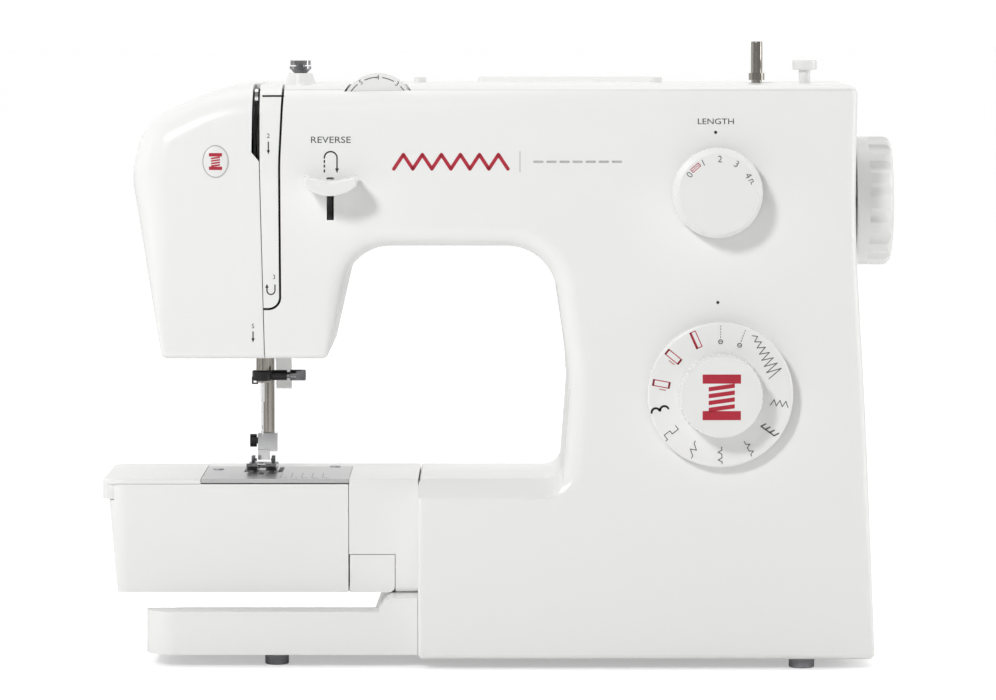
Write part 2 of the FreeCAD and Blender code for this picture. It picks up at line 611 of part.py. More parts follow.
def shaft_pulley():
    wheel = rod("X", (SHAFT_Y, SHAFT_Z), PULLEY_R, 138.0, 150.0)
    groove = tube("X", (SHAFT_Y, SHAFT_Z), PULLEY_R + 2, PULLEY_R - 2.0, 140.0, 148.0)
    return solid_of(cut(wheel, groove, rod("X", (SHAFT_Y, SHAFT_Z), SHAFT_R, 130, 160)))


def hand_wheel():
    """Hand wheel: a hub, a web and a thick rim with finger dips round its outer edge."""
    r = 31.0
    rim = rod("X", (SHAFT_Y, SHAFT_Z), r, 172.4, HALF_LENGTH)
    rim = soften(rim, 4.0, lambda e: abs(e.CenterOfMass.x - HALF_LENGTH) < 1e-3)
    rim = soften(rim, 1.2, lambda e: abs(e.CenterOfMass.x - 172.4) < 1e-3 and e.Length > 50)
    dips = []
    for i in range(16):
        a = 2 * math.pi * (i + 0.5) / 16
        at = (SHAFT_Y + (r + 5.2) * math.cos(a), SHAFT_Z + (r + 5.2) * math.sin(a))
        dips.append(rod("X", at, 6.4, 178.5, 195))
    dish = tube("X", (SHAFT_Y, SHAFT_Z), 23.0, 11.0, 187.2, 195.0)
    return solid_of(cut(rim, Part.makeCompound(dips), dish,
                        rod("X", (SHAFT_Y, SHAFT_Z), SHAFT_R, 160, 186.0)))


def motor():
    centre = (MOTOR_Y, MOTOR_Z)
    can = rod("X", centre, 26.0, 108.0, 134.0)
    can = fuse(can, rod("X", centre, 9.0, 104.0, 135.0))
    foot = box(110.0, 132.0, 20.0, 52.0, PLATE_Z, 44.0)
    return solid_of(fuse(can, foot).cut(rod("X", centre, 2.5 + RUN, 120.0, 140.0)))


def motor_pulley():
    centre = (MOTOR_Y, MOTOR_Z)
    wheel = fuse(rod("X", centre, MOTOR_PULLEY_R, 139.0, 149.0), rod("X", centre, 2.5, 121.0, 150.0))
    return solid_of(wheel)


def drive_belt():
    """Toothed belt between the two pulleys, drawn as a plain loop just clear of them."""
    def loop(grow):
        dy, dz = MOTOR_Y - SHAFT_Y, MOTOR_Z - SHAFT_Z
        span = math.hypot(dy, dz)
        big, small = PULLEY_R - 2.0 + grow, MOTOR_PULLEY_R + grow
        base = math.atan2(dz, dy)
        turn = math.acos((big - small) / span)
        tangent = []
        for sign in (1, -1):
            c, s = math.cos(base + sign * turn), math.sin(base + sign * turn)
            tangent.append((SHAFT_Y + big * c, SHAFT_Z + big * s))
            tangent.append((MOTOR_Y + small * c, MOTOR_Z + small * s))
        (a, b), (c, d) = tangent[0:2], tangent[2:4]
        core = prism([a, b, d, c], "YZ", 141.0, 147.0)
        return fuse(core, rod("X", (SHAFT_Y, SHAFT_Z), big, 141.0, 147.0),
                    rod("X", (MOTOR_Y, MOTOR_Z), small, 141.0, 147.0))
    return solid_of(loop(1.7).cut(loop(0.4)))


def lower_shaft():
    shaft = rod("X", (LOWER_Y, LOWER_Z), SHAFT_R, -88.0, 90.0)
    sector = rod("X", (LOWER_Y, LOWER_Z), 6.8, -91.0, -83.0)
    return solid_of(fuse(shaft, sector))


# ---------------------------------------------------------------- shuttle and feed
def shuttle_race():
    ring = tube("Y", (NEEDLE_X, HOOK_Z), 21.5, 17.0, 0.5, 11.0)
    front = tube("Y", (NEEDLE_X, HOOK_Z), 21.5, 15.0, -3.0, 0.5)
    window = box(NEEDLE_X - 6, NEEDLE_X + 6, -5, 5, HOOK_Z + 12, HOOK_Z + 30)
    top = box(NEEDLE_X - 30, NEEDLE_X + 30, -5, 15, HOOK_Z + 17.5, HOOK_Z + 30)
    arms = [box(NEEDLE_X + s * 18 - 3, NEEDLE_X + s * 18 + 3, 6, FRAME_FRONT_Y, HOOK_Z - 18, HOOK_Z - 10)
            for s in (-1, 1)]
    return solid_of(cut(fuse(ring, front, *arms), window, top))


def shuttle_hook():
    disc = tube("Y", (NEEDLE_X, HOOK_Z), 16.7, 13.6, 1.5, 8.5)
    back = rod("Y", (NEEDLE_X, HOOK_Z), 16.0, 7.0, 9.5)
    gap = box(NEEDLE_X + 6, NEEDLE_X + 20, 0, 6.9, HOOK_Z - 1, HOOK_Z + 20)
    post = rod("Y", (NEEDLE_X, HOOK_Z), 3.0, 2.2, 8.0)
    return solid_of(cut(fuse(disc, back, post), gap))


def bobbin_case():
    cup = tube("Y", (NEEDLE_X, HOOK_Z), 12.6, 11.4, -14.0, 0.4)
    front = tube("Y", (NEEDLE_X, HOOK_Z), 12.6, 3.4, -15.2, -14.0)
    finger = box(NEEDLE_X - 2.5, NEEDLE_X + 2.5, -15.2, -12.6, HOOK_Z + 11.8, HOOK_Z + 19)
    latch = box(NEEDLE_X - 9, NEEDLE_X + 4, -16.8, -15.2, HOOK_Z - 3, HOOK_Z + 3)
    return solid_of(fuse(cup, front, finger, latch).cut(
        rod("Y", (NEEDLE_X, HOOK_Z), 3.4, -20, 0)))


def bobbin():
    ends = [rod("Y", (NEEDLE_X, HOOK_Z), 10.6, y, y + 1.0) for y in (-13.2, -2.6)]
    hub = rod("Y", (NEEDLE_X, HOOK_Z), 5.0, -13.2, -1.6)
    return solid_of(fuse(hub, *ends).cut(rod("Y", (NEEDLE_X, HOOK_Z), 3.05, -20, 5)))


def feed_carrier():
    bar = box(NEEDLE_X - 12.0, NEEDLE_X + 12.0, 6.0, 20.0, 78.5, 80.5)
    tail = box(NEEDLE_X - 4, NEEDLE_X + 4, 17.0, 20.5, 74.0, 80.5)
    return fuse(bar, tail)


def feed_dog():
    base = box(NEEDLE_X - 10.0, NEEDLE_X + 10.6, 2.6, 16.0, 80.8 + 2.6, 85.2)
    rows = []
    for x in (NEEDLE_X - 8.6, NEEDLE_X - 4.2, NEEDLE_X + 3.6, NEEDLE_X + 8.0):
        row = box(x, x + 1.4, 2.6, 16.0, 85.0, 88.5)
        teeth = [prism([(y, 88.6), (y + 1.2, 87.7), (y + 1.2, 88.6)], "YZ", x - 1, x + 3)
                 for y in [2.6 + 1.2 * i for i in range(11)]]
        rows.append(row.cut(Part.makeCompound(teeth)))
    return solid_of(fuse(base, *rows))


# ---------------------------------------------------------------- needle, presser and take-up
def needle_bar():
    bar = rod("Z", (NEEDLE_X, 0), NEEDLE_R, 131.5, 262.0)
    bracket = box(NEEDLE_X - 6, NEEDLE_X + 5.5, -6, 6, 197, 206)
    eye = box(-108.6, -106.2, -5, 5, 199, 240)
    ring = rod("X", (0, SHAFT_Z + NEEDLE_TRAVEL / 2), 7.0, -108.6, -106.2)
    hole = rod("X", (0, SHAFT_Z + NEEDLE_TRAVEL / 2), 3.3, -112, -105.0)
    return solid_of(fuse(bar, bracket, box(NEEDLE_X + 3, -106.2, -4, 4, 198, 205), eye, ring).cut(hole))


def needle_clamp():
    collar = rod("Z", (NEEDLE_X, 0), 5.0, 132.4, 137.4)
    collar = soften(collar, 0.7)
    boss = rod("X", (0, 135.0), 2.5, -112.0, -102.6)
    hook = fuse(box(-119.6, -118.8, -2.2, -1.4, 130.8, 134.4), box(-119.6, -110.6, -2.2, -1.4, 130.8, 131.5),
                box(-119.6, -117.6, -2.2, -1.4, 133.4, 134.4))
    return solid_of(fuse(collar, boss, hook).cut(rod("Z", (NEEDLE_X, 0), NEEDLE_R, 125, 140)))


def clamp_screw():
    neck = rod("X", (0, 135.0), 1.5, -102.6, -101.0)
    head = soften(rod("X", (0, 135.0), 2.7, -101.2, -93.4), 0.6)
    flat = [box(-98.0, -93.0, s * 3.0 - 1.4, s * 3.0 + 1.4, 130, 140) for s in (-1, 1)]
    return solid_of(cut(fuse(neck, head), *flat))


def needle():
    shank = rod("Z", (NEEDLE_X, 0), 1.0, 122.0, 131.5)
    blade = rod("Z", (NEEDLE_X, 0), 0.5, 108.0, 122.0)
    tip = cone("Z", (NEEDLE_X, 0), 0.1, 0.5, 105.0, 108.0)
    return solid_of(fuse(shank, blade, tip).cut(box(NEEDLE_X - 0.2, NEEDLE_X + 0.2, -2, 2, 109, 110.6)))


def presser_bar():
    bar = rod("Z", (PRESSER_X, PRESSER_Y), PRESSER_R, 97.0, 240.0)
    collar = rod("Z", (PRESSER_X, PRESSER_Y), 5.0, 180.0, 188.0)
    return solid_of(fuse(bar, collar))


def presser_ankle():
    """Ankle block on the presser bar, with the two ears that hold the foot."""
    x, y = NEEDLE_X - 0.3, PRESSER_Y
    block = box(x - 2.4, x + 7.0, y - 5.5, y + 5.5, 97.0, 106.0)
    leg = box(x - 2.4, x + 3.4, 6.5, y + 2.0, 93.0, 98.0)
    neck = soften(fuse(block, leg), 0.6)
    return solid_of(cut(neck, rod("Z", (PRESSER_X, PRESSER_Y), PRESSER_R, 90, 110)))


def ankle_screw():
    head = rod("X", (PRESSER_Y, 102.0), 3.2, -121.2, -118.0)
    neck = rod("X", (PRESSER_Y, 102.0), 1.6, -118.2, NEEDLE_X - 2.7)
    return solid_of(fuse(head, neck))


def presser_foot():
    """Zigzag foot: two toes turned up in front, a bridge and a pivot boss."""
    x = NEEDLE_X
    profile = [(-15.0, 91.8), (-10.5, 89.3, 3), (11.0, 89.3), (13.0, 90.4), (13.0, 91.6),
               (10.0, 90.9), (-10.0, 90.9, 3), (-14.4, 93.2)]
    sole = prism(profile, "YZ", x - 7.2, x + 7.2)
    toes = fuse(box(x - 2.0, x + 2.0, -20, -2.6, 80, 100), box(x - 3.4, x + 3.4, -2.6, 2.4, 80, 100))
    ears = [box(x + s * 4.9 - 0.9, x + s * 4.9 + 0.9, 5.0, 11.0, 90.5, 95.2) for s in (-1, 1)]
    pin = rod("X", (8.0, 93.0), 0.7, x - 5.8, x - 3.2)
    pin2 = rod("X", (8.0, 93.0), 0.7, x + 3.6, x + 5.8)
    return solid_of(fuse(cut(sole, toes), *ears, pin, pin2))


def presser_lifter():
    """Lever that raises the presser bar: a hub on its pin and a thumb piece below the head."""
    y, z = LIFTER_PIVOT
    pin = rod("X", LIFTER_PIVOT, 2.0 - RUN, -118.0, -90.0)
    hub = rod("X", LIFTER_PIVOT, 5.0, -111.0, -97.5)
    arm = prism([(y - 3.5, z - 2, 2), (y + 3.6, z + 3, 2), (53.0, 136.0, 6), (53.2, 125.0, 2),
                 (49.0, 124.0, 2), (47.0, 134.0, 8)], "YZ", -110.0, -102.4)
    return solid_of(fuse(pin, hub, arm))


def take_up_lever():
    """Flat lever in the head's slot, with a thread eye at its tip."""
    y, z = TAKE_UP_PIVOT
    angle = math.radians(50.0)
    length = 46.0
    way = V(0, -math.cos(angle), math.sin(angle))
    side = V(0, math.sin(angle), math.cos(angle))
    x0, x1 = -115.6, -114.0
    tip = V(0, y, z) + way * length

    def at(reach, off):
        p = V(0, y, z) + way * reach + side * off
        return (p.y, p.z)
    blade = prism([at(0, -3.6), at(20, -2.6), at(40, -2.4), at(40, 2.4), at(20, 2.6), at(0, 3.6)],
                  "YZ", x0, x1)
    eye = rod("X", (tip.y, tip.z), 3.6, x0, x1)
    link = prism([at(39, -2.4), at(44, -3.0), at(44, 3.0), at(39, 2.4)], "YZ", x0, x1)
    hub = rod("X", TAKE_UP_PIVOT, 4.0, -118.0, -104.6)
    lever = fuse(blade, link, eye, hub)
    return solid_of(cut(lever, rod("X", (tip.y, tip.z), 1.4, -120, -110),
                        rod("X", TAKE_UP_PIVOT, 2.0 + RUN, -122, -100)))


def take_up_pin():
    return rod("X", TAKE_UP_PIVOT, 2.0, -126.0, -104.0)


# ---------------------------------------------------------------- controls
def length_dial():
    x, z = LENGTH_DIAL
    skirt = cone("Y", LENGTH_DIAL, 18.9, 21.4, -75.0, -66.0)
    base = rod("Y", LENGTH_DIAL, 21.4, -66.0, -60.1)
    dial = fuse(skirt, base)
    dial = knurl(dial, LENGTH_DIAL, 22.9, -73.5, -61.5, 60, 1.75)
    return solid_of(fuse(dial, rod("Y", LENGTH_DIAL, 4.0, -60.2, -44.0)))


def pattern_dial():
    disc = rod("Y", PATTERN_DIAL, 34.4, -71.6, -65.9)
    disc = soften(disc, 1.2, lambda e: abs(e.CenterOfMass.y + 71.6) < 1e-3)
    knob = cone("Y", PATTERN_DIAL, 19.0, 20.4, KNOB_Y, -71.0)
    knob = knurl(knob, PATTERN_DIAL, 21.2, -83.4, -72.2, 48, 1.7)
    cams = [rod("Y", PATTERN_DIAL, r, y, y + 4.0) for r, y in ((14.0, -48.0), (17.0, -42.0), (13.0, -36.0))]
    return solid_of(fuse(disc, knob, rod("Y", PATTERN_DIAL, 6.0, -66.0, -30.0), *cams))


def tension_dial():
    dial = tube("Y", TENSION_DIAL, 17.3, 3.0 + RUN, -49.4, -40.0)
    return solid_of(knurl(dial, TENSION_DIAL, 18.3, -48.0, -41.0, 54, 1.5))


def tension_stud():
    """Fixed stud with the two tension discs and their stop plate."""
    stud = rod("Y", TENSION_DIAL, 3.0, -48.0, FRAME_FRONT_Y)
    discs = [rod("Y", TENSION_DIAL, r, y, y + 0.8) for r, y in ((9.0, -37.5), (9.0, -35.9), (6.0, -33.0))]
    return solid_of(fuse(stud, rod("Y", TENSION_DIAL, 5.0, -39.0, -24.0), *discs))


def reverse_lever():
    """Reverse stitch lever: a crescent thumb piece on a thin stem, on a pivot inside."""
    x = REVERSE_X + 0.5
    thumb = crescent(x)
    stem = prism([(-79.0, 226.0), (REVERSE_PIVOT[0], 227.0), (REVERSE_PIVOT[0], 236.5), (-79.0, 229.5)],
                 "YZ", REVERSE_X - 1.4, REVERSE_X + 1.4)
    hub = rod("X", REVERSE_PIVOT, 6.0, REVERSE_X - 5, REVERSE_X + 5)
    return solid_of(fuse(thumb, stem, hub).cut(rod("X", REVERSE_PIVOT, 2.0 + RUN, -100, -60)))


def crescent(x):
    """Crescent seen from the front: dished top, round bottom, pushed out along Y."""
    left, right = V(x - 12.0, 0, 234.4), V(x + 12.0, 0, 234.4)
    top = Part.Arc(left, V(x, 0, 232.2), right).toShape()
    corner = V(x + 12.3, 0, 230.0)
    corner2 = V(x - 12.3, 0, 230.0)
    wire = Part.Wire([top, Part.LineSegment(right, corner).toShape(),
                      Part.Arc(corner, V(x, 0, 225.2), corner2).toShape(),
                      Part.LineSegment(corner2, left).toShape()])
    solid = Part.Face(wire).extrude(V(0, 18.5, 0))
    solid.translate(V(0, -80.0, 0))
    return soften(solid, 1.0, lambda e: e.CenterOfMass.y < -79.9)


def reverse_pin():
    return rod("X", REVERSE_PIVOT, 2.0, REVERSE_X - 12, REVERSE_X + 12)


def power_switch():
    rocker = soften(box(163.0, 178.6, 43.0, 55.0, 33.2, 44.8), 2.0, along("Z"))
    pivot = rod("Y", SWITCH_AXIS, 1.5, 42.6, 55.4)
    return solid_of(fuse(rocker, pivot))


def power_inlet():
    block = box(150.0, 176.6, 14.5, 37.5, 28.5, 49.5)
    socket = box(160.0, 190.0, 18.0, 34.0, 33.0, 45.0)
    pins = [rod("X", (26.0 + s * 4.0, 39.0), 1.2, 158.0, 172.0) for s in (-1, 1)]
    return solid_of(fuse(block.cut(socket), *pins))


# ---------------------------------------------------------------- top fittings
def bobbin_guide_base():
    base = cone("Z", (-94.8, -20.0), 7.4, 5.6, TOP_Z, TOP_Z + 5.0)
    return base


def bobbin_guide_stud():
    at = (-94.8, -20.0)
    discs = fuse(cone("Z", at, 3.0, 5.2, TOP_Z + 5.0, TOP_Z + 7.0), rod("Z", at, 5.2, TOP_Z + 7.0, TOP_Z + 8.2),
                 rod("Z", at, 2.2, TOP_Z + 8.0, TOP_Z + 9.0), rod("Z", at, 4.9, TOP_Z + 8.8, TOP_Z + 11.0))
    return solid_of(discs)


def winder_carriage():
    block = box(WINDER_X - 9.5, WINDER_X + 7.5, -9, 9, 256.0, 270.0)
    return solid_of(block.cut(rod("Z", (WINDER_X, 0), 2.6 + RUN, 200, 300)))


def winder_spindle():
    at = (WINDER_X, 0)
    lower = rod("Z", at, 2.6, 239.0, 279.0)
    tyre = rod("Z", at, 8.0, 240.0, 247.0)
    flange = rod("Z", at, 3.8, 278.3, 281.7)
    peg = rod("Z", at, 2.8, 281.0, 297.0)
    peg = soften(peg, 0.5, lambda e: abs(e.CenterOfMass.z - 297.0) < 1e-3)
    return solid_of(fuse(lower, tyre, flange, peg))


def winder_stop():
    at = (148.4, 0)
    stem = rod("Z", at, 2.8, TOP_Z, 284.0)
    cap = soften(rod("Z", at, 6.0, 283.3, 288.0), 0.8)
    return solid_of(fuse(stem, cap))


def spool_pin(x):
    pin = rod("Z", (x, SPOOL_Y), 3.0, 212.0, TOP_Z + 2.6)
    stop = rod("Z", (x, SPOOL_Y), 4.5, 212.0, 214.5)
    return solid_of(fuse(soften(pin, 0.8, lambda e: e.CenterOfMass.z > TOP_Z + 2), stop))


def carry_handle():
    """Handle folded down behind the machine, on a hinge bar across the top."""
    y, z = HANDLE_AXIS
    side = [(y - 3, z + 5.5, 2), (y + 1.5, z + 9.0, 3), (y + 9.5, z + 3.0, 6), (74.0, 214.0, 3),
            (62.0, 212.0, 3), (54.2, 260.6, 6), (y - 5.0, z - 4.0, 3)]
    plate = prism(side, "YZ", HANDLE_LEFT, HANDLE_RIGHT)
    gap = prism([(30, 226), (110, 226), (110, 255), (30, 255)], "YZ",
                HANDLE_LEFT + 12, HANDLE_RIGHT - 12)
    plate = soften(plate, 1.2, lambda e: min(abs(e.CenterOfMass.x - HANDLE_LEFT),
                                             abs(e.CenterOfMass.x - HANDLE_RIGHT)) < 1e-3)
    plate = solid_of(plate.cut(gap))
    bores = [rod("X", HANDLE_AXIS, 2.0 + RUN, HANDLE_LEFT - 1, HANDLE_LEFT + 10),
             rod("X", HANDLE_AXIS, 2.0 + RUN, HANDLE_RIGHT - 10, HANDLE_RIGHT + 1)]
    return solid_of(cut(plate, *bores))


# ---------------------------------------------------------------- feet and pins
def rubber_feet():
    feet = []
    for x, y, r, top in ((-105.8, -46.0, 5.7, 13.5), (-105.8, 32.0, 5.7, 13.5),
                         (144.6, -58.0, 6.1, BASE_Z), (144.6, 70.0, 6.1, BASE_Z),
                         (0.0, 70.0, 6.1, BASE_Z)):
        foot = rod("Z", (x, y), r, 0.0, top)
        feet.append(soften(foot, 0.8, lambda e: e.CenterOfMass.z < 0.01))
    return Part.makeCompound(feet)


def face_cover_pin():
    return rod("Z", FACE_HINGE, 1.0, 221.0, 249.0)


def shuttle_door_pin():
    return rod("Z", DOOR_PIN, 1.0, 34.0, 80.0)


NODES = {
    "front_cover": front_cover, "face_cover": face_cover, "thread_guide_strip": thread_guide_strip,
    "top_cover": top_cover, "rear_cover": rear_cover, "bottom_plate": bottom_plate,
    "base_tray": base_tray, "free_arm_shell": free_arm_shell, "bed_cover": bed_cover,
    "cover_screws": cover_screws, "needle_plate": needle_plate,
    "needle_plate_screws": needle_plate_screws, "arm_front_panel": arm_front_panel,
    "shuttle_door": shuttle_door, "shuttle_door_pin": shuttle_door_pin,
    "face_cover_pin": face_cover_pin, "main_frame": main_frame, "bushings": bushings,
    "main_shaft": main_shaft, "main_crank": main_crank, "shaft_pulley": shaft_pulley,
    "hand_wheel": hand_wheel, "motor": motor, "motor_pulley": motor_pulley,
    "drive_belt": drive_belt, "lower_shaft": lower_shaft, "shuttle_race": shuttle_race,
    "shuttle_hook": shuttle_hook, "bobbin_case": bobbin_case, "bobbin": bobbin,
    "feed_carrier": feed_carrier, "feed_dog": feed_dog, "needle_bar": needle_bar,
    "needle_clamp": needle_clamp, "clamp_screw": clamp_screw, "needle": needle,
    "presser_bar": presser_bar, "presser_ankle": presser_ankle, "ankle_screw": ankle_screw,
    "presser_foot": presser_foot, "presser_lifter": presser_lifter,
    "take_up_lever": take_up_lever, "take_up_pin": take_up_pin, "length_dial": length_dial,
    "pattern_dial": pattern_dial, "tension_dial": tension_dial, "tension_stud": tension_stud,
    "reverse_lever": reverse_lever, "reverse_pin": reverse_pin, "power_switch": power_switch,
    "power_inlet": power_inlet, "bobbin_guide_base": bobbin_guide_base,
    "bobbin_guide_stud": bobbin_guide_stud, "winder_carriage": winder_carriage,
    "winder_spindle": winder_spindle, "winder_stop": winder_stop,
    "spool_pin_left": lambda: spool_pin(SPOOL_PINS["spool_pin_left"]),
    "spool_pin_right": lambda: spool_pin(SPOOL_PINS["spool_pin_right"]),
    "carry_handle": carry_handle, "rubber_feet": rubber_feet,
}

os.makedirs("parts", exist_ok=True)
for node, build in NODES.items():
    shape = build()
    if not shape.isValid() or shape.Volume <= 0:
        raise ValueError(node + " is not a sound solid")
    shape.exportStep("parts/" + node + ".step")
    span = shape.BoundBox
    print("%-22s %d solids  x %.1f..%.1f  y %.1f..%.1f  z %.1f..%.1f" % (
        node, len(shape.Solids), span.XMin, span.XMax, span.YMin, span.YMax, span.ZMin, span.ZMax))
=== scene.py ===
"""Looks of a free-arm sewing machine: finishes, printed marks, small fittings and a plain stage.

Metres.  +X runs along the arm to the hand wheel, +Y to the back and +Z up.
Marks are drawn flat in millimetres and then laid on the surface that carries them.
"""
import json
import math

import bmesh
import bpy
from bpy.props import FloatProperty, FloatVectorProperty, PointerProperty
from mathutils import Matrix, Vector


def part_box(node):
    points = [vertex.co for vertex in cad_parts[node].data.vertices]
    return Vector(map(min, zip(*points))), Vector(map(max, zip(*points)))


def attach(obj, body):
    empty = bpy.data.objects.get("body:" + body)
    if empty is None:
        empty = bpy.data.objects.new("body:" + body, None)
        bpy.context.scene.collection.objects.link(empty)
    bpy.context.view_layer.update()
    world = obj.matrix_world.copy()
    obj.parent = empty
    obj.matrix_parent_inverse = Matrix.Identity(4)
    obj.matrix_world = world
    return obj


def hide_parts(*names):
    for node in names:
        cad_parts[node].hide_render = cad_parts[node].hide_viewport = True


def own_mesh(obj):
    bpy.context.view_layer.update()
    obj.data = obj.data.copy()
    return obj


bl_info = {
    "name": "Sewing Machine Looks",
    "version": (1, 0, 0),
    "blender": (4, 5, 0),
    "location": "View3D > Sidebar > Sewing",
    "description": "Finishes, printed marks, small fittings and stage of a free-arm sewing machine",
    "category": "Object",
}

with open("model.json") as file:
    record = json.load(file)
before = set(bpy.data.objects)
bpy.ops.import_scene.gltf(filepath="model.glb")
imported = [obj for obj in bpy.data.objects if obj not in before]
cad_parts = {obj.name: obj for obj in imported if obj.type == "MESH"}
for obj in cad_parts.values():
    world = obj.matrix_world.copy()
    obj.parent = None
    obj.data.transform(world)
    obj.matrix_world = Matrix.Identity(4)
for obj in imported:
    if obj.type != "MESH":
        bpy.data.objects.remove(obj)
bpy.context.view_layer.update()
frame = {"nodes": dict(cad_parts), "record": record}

MM = 0.001
SHARP_ANGLE = math.radians(35)
CAPITAL_SHARE = 0.69       # height of a capital letter in the font, as a share of its size


# ---------------------------------------------------------------- settings
class FinishSettings(bpy.types.PropertyGroup):
    casing: FloatVectorProperty(
        name="Casing", description="Gloss plastic of the casing and the free arm",
        subtype="COLOR", size=3, min=0, max=1, default=(0.80, 0.797, 0.79))
    controls: FloatVectorProperty(
        name="Controls", description="Plastic of the dials, the levers and the hand wheel",
        subtype="COLOR", size=3, min=0, max=1, default=(0.80, 0.80, 0.795))
    ink: FloatVectorProperty(
        name="Ink", description="Dark printed marks",
        subtype="COLOR", size=3, min=0, max=1, default=(0.018, 0.018, 0.02))
    accent: FloatVectorProperty(
        name="Accent", description="Red printed marks and emblems",
        subtype="COLOR", size=3, min=0, max=1, default=(0.46, 0.012, 0.035))


class MarkSettings(bpy.types.PropertyGroup):
    fine_line: FloatProperty(
        name="Fine line", description="Width of a thin printed line",
        unit="LENGTH", min=0, default=0.45 * MM)
    bold_line: FloatProperty(
        name="Bold line", description="Width of a heavy printed line",
        unit="LENGTH", min=0, default=0.8 * MM)
    relief: FloatProperty(
        name="Relief", description="How far a printed mark stands off its surface",
        unit="LENGTH", min=0, default=0.06 * MM)


class StageSettings(bpy.types.PropertyGroup):
    camera_distance: FloatProperty(
        name="Camera distance", description="Camera to the middle of the machine",
        unit="LENGTH", default=2.4)
    camera_height: FloatProperty(
        name="Camera height", description="Camera above the table", unit="LENGTH", default=0.318)
    camera_tilt: FloatProperty(
        name="Camera tilt", description="How far the camera looks down",
        subtype="ANGLE", default=math.radians(4.07))
    lens: FloatProperty(name="Lens", description="Focal length in millimetres", default=178.9)
    floor_size: FloatProperty(
        name="Floor size", description="Side of the square floor", unit="LENGTH", default=60.0)


# ---------------------------------------------------------------- mesh helpers
def piece_of(name, bm, body, material, smooth=False, replaced=()):
    """Turns a bmesh into a piece that rides on a body."""
    mesh = bpy.data.meshes.new(name)
    bm.to_mesh(mesh)
    bm.free()
    if smooth:
        for polygon in mesh.polygons:
            polygon.use_smooth = True
        mesh.set_sharp_from_angle(angle=SHARP_ANGLE)
    mesh.materials.append(bpy.data.materials[material])
    piece = bpy.data.objects.new(name, mesh)
    bpy.context.scene.collection.objects.link(piece)
    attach(piece, body)
    if replaced:
        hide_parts(*replaced)
    return piece


def sheet_at(origin, normal, up=Vector((0, 0, 1))):
    """A drawing sheet on a surface: X to the right, Y up and Z out of it, in millimetres."""
    right = up.cross(normal).normalized()
    top = normal.cross(right)
    place = Matrix((right, top, normal)).transposed().to_4x4()
    place.translation = origin
    return place @ Matrix.Scale(MM, 4)


def front_sheet(node, x, z):
    """The sheet where a line straight back at (x, z) first meets a node; x and z in millimetres."""
    start = Vector((x * MM, -1, z * MM))
    hit, where, normal, _ = frame["nodes"][node].ray_cast(start, Vector((0, 1, 0)))
    if not hit:
        raise RuntimeError("nothing of %s lies behind (%g, %g)" % (node, x, z))
    return sheet_at(where, normal.normalized())


def move(x=0.0, y=0.0, z=0.0):
    return Matrix.Translation((x, y, z))


def turn(angle, axis="Z"):
    return Matrix.Rotation(angle, 4, axis)


def on_dial(angle, radius):
    """A place on a dial's sheet: angle clockwise from the top in degrees, Y pointing outwards."""
    return turn(-math.radians(angle)) @ move(0, radius)


def ink_depth():
    """Thickness in millimetres of a printed mark, half of it in the surface."""
    return 2 * bpy.context.scene.sewing_marks.relief / MM


def add_disc(bm, place, radius, depth, segments=32):
    bmesh.ops.create_cone(bm, cap_ends=True, segments=segments, radius1=radius, radius2=radius,
                          depth=depth, matrix=place)


def add_block(bm, place, x0, x1, y0, y1, z0, z1):
    at = move((x0 + x1) / 2, (y0 + y1) / 2, (z0 + z1) / 2)
    size = Matrix.Diagonal((x1 - x0, y1 - y0, z1 - z0, 1))
    return bmesh.ops.create_cube(bm, size=1.0, matrix=place @ at @ size)["verts"]


def add_stroke(bm, place, points, width, closed=False):
    """A flat line with round joints through points in millimetres."""
    path = points + points[:1] if closed else points
    depth = ink_depth()
    for (x0, y0), (x1, y1) in zip(path, path[1:]):
        run = math.hypot(x1 - x0, y1 - y0)
        at = move((x0 + x1) / 2, (y0 + y1) / 2) @ turn(math.atan2(y1 - y0, x1 - x0))
        size = Matrix.Diagonal((run, width, depth, 1))
        bmesh.ops.create_cube(bm, size=1.0, matrix=place @ at @ size)
    for x, y in points:
        add_disc(bm, place @ move(x, y), width / 2, depth, segments=10)


def add_patch(bm, place, points):
    """A flat filled shape with its corners at the points, given anticlockwise."""
    depth = ink_depth()
    corners = [bm.verts.new(place @ Vector((x, y, -depth / 2))) for x, y in points]
    face = bm.faces.new(corners)
    lifted = bmesh.ops.extrude_face_region(bm, geom=[face])["geom"]
    raised = [v for v in lifted if isinstance(v, bmesh.types.BMVert)]
    bmesh.ops.translate(bm, vec=place.to_3x3() @ Vector((0, 0, depth)), verts=raised)
    face.normal_flip()


def add_arrow(bm, place, x, y, way, size):
    """An arrow head with its point at (x, y), looking along way in degrees."""
    at = place @ move(x, y) @ turn(math.radians(way))
    add_patch(bm, at, [(0, 0), (-1.5 * size, 0.6 * size), (-1.5 * size, -0.6 * size)])


def add_text(bm, place, words, height, stretch=1.0):
    """Lettering with capitals this high in millimetres, centred on the place."""
    curve = bpy.data.curves.new("lettering", "FONT")
    curve.body = words
    curve.size = height / CAPITAL_SHARE
    curve.align_x = "CENTER"
    curve.extrude = ink_depth() / 2
    curve.resolution_u = 3
    holder = bpy.data.objects.new("lettering", curve)
    mesh = bpy.data.meshes.new_from_object(holder)
    mesh.transform(place @ Matrix.Diagonal((stretch, 1, 1, 1)) @ move(0, -height / 2))
    bm.from_mesh(mesh)
    bpy.data.objects.remove(holder)
    bpy.data.curves.remove(curve)
    bpy.data.meshes.remove(mesh)


def arc(x, y, radius, start, end, steps=12):
    """Points along part of a circle; angles in degrees, anticlockwise from the right."""
    angles = [math.radians(start + (end - start) * i / steps) for i in range(steps + 1)]
    return [(x + radius * math.cos(a), y + radius * math.sin(a)) for a in angles]


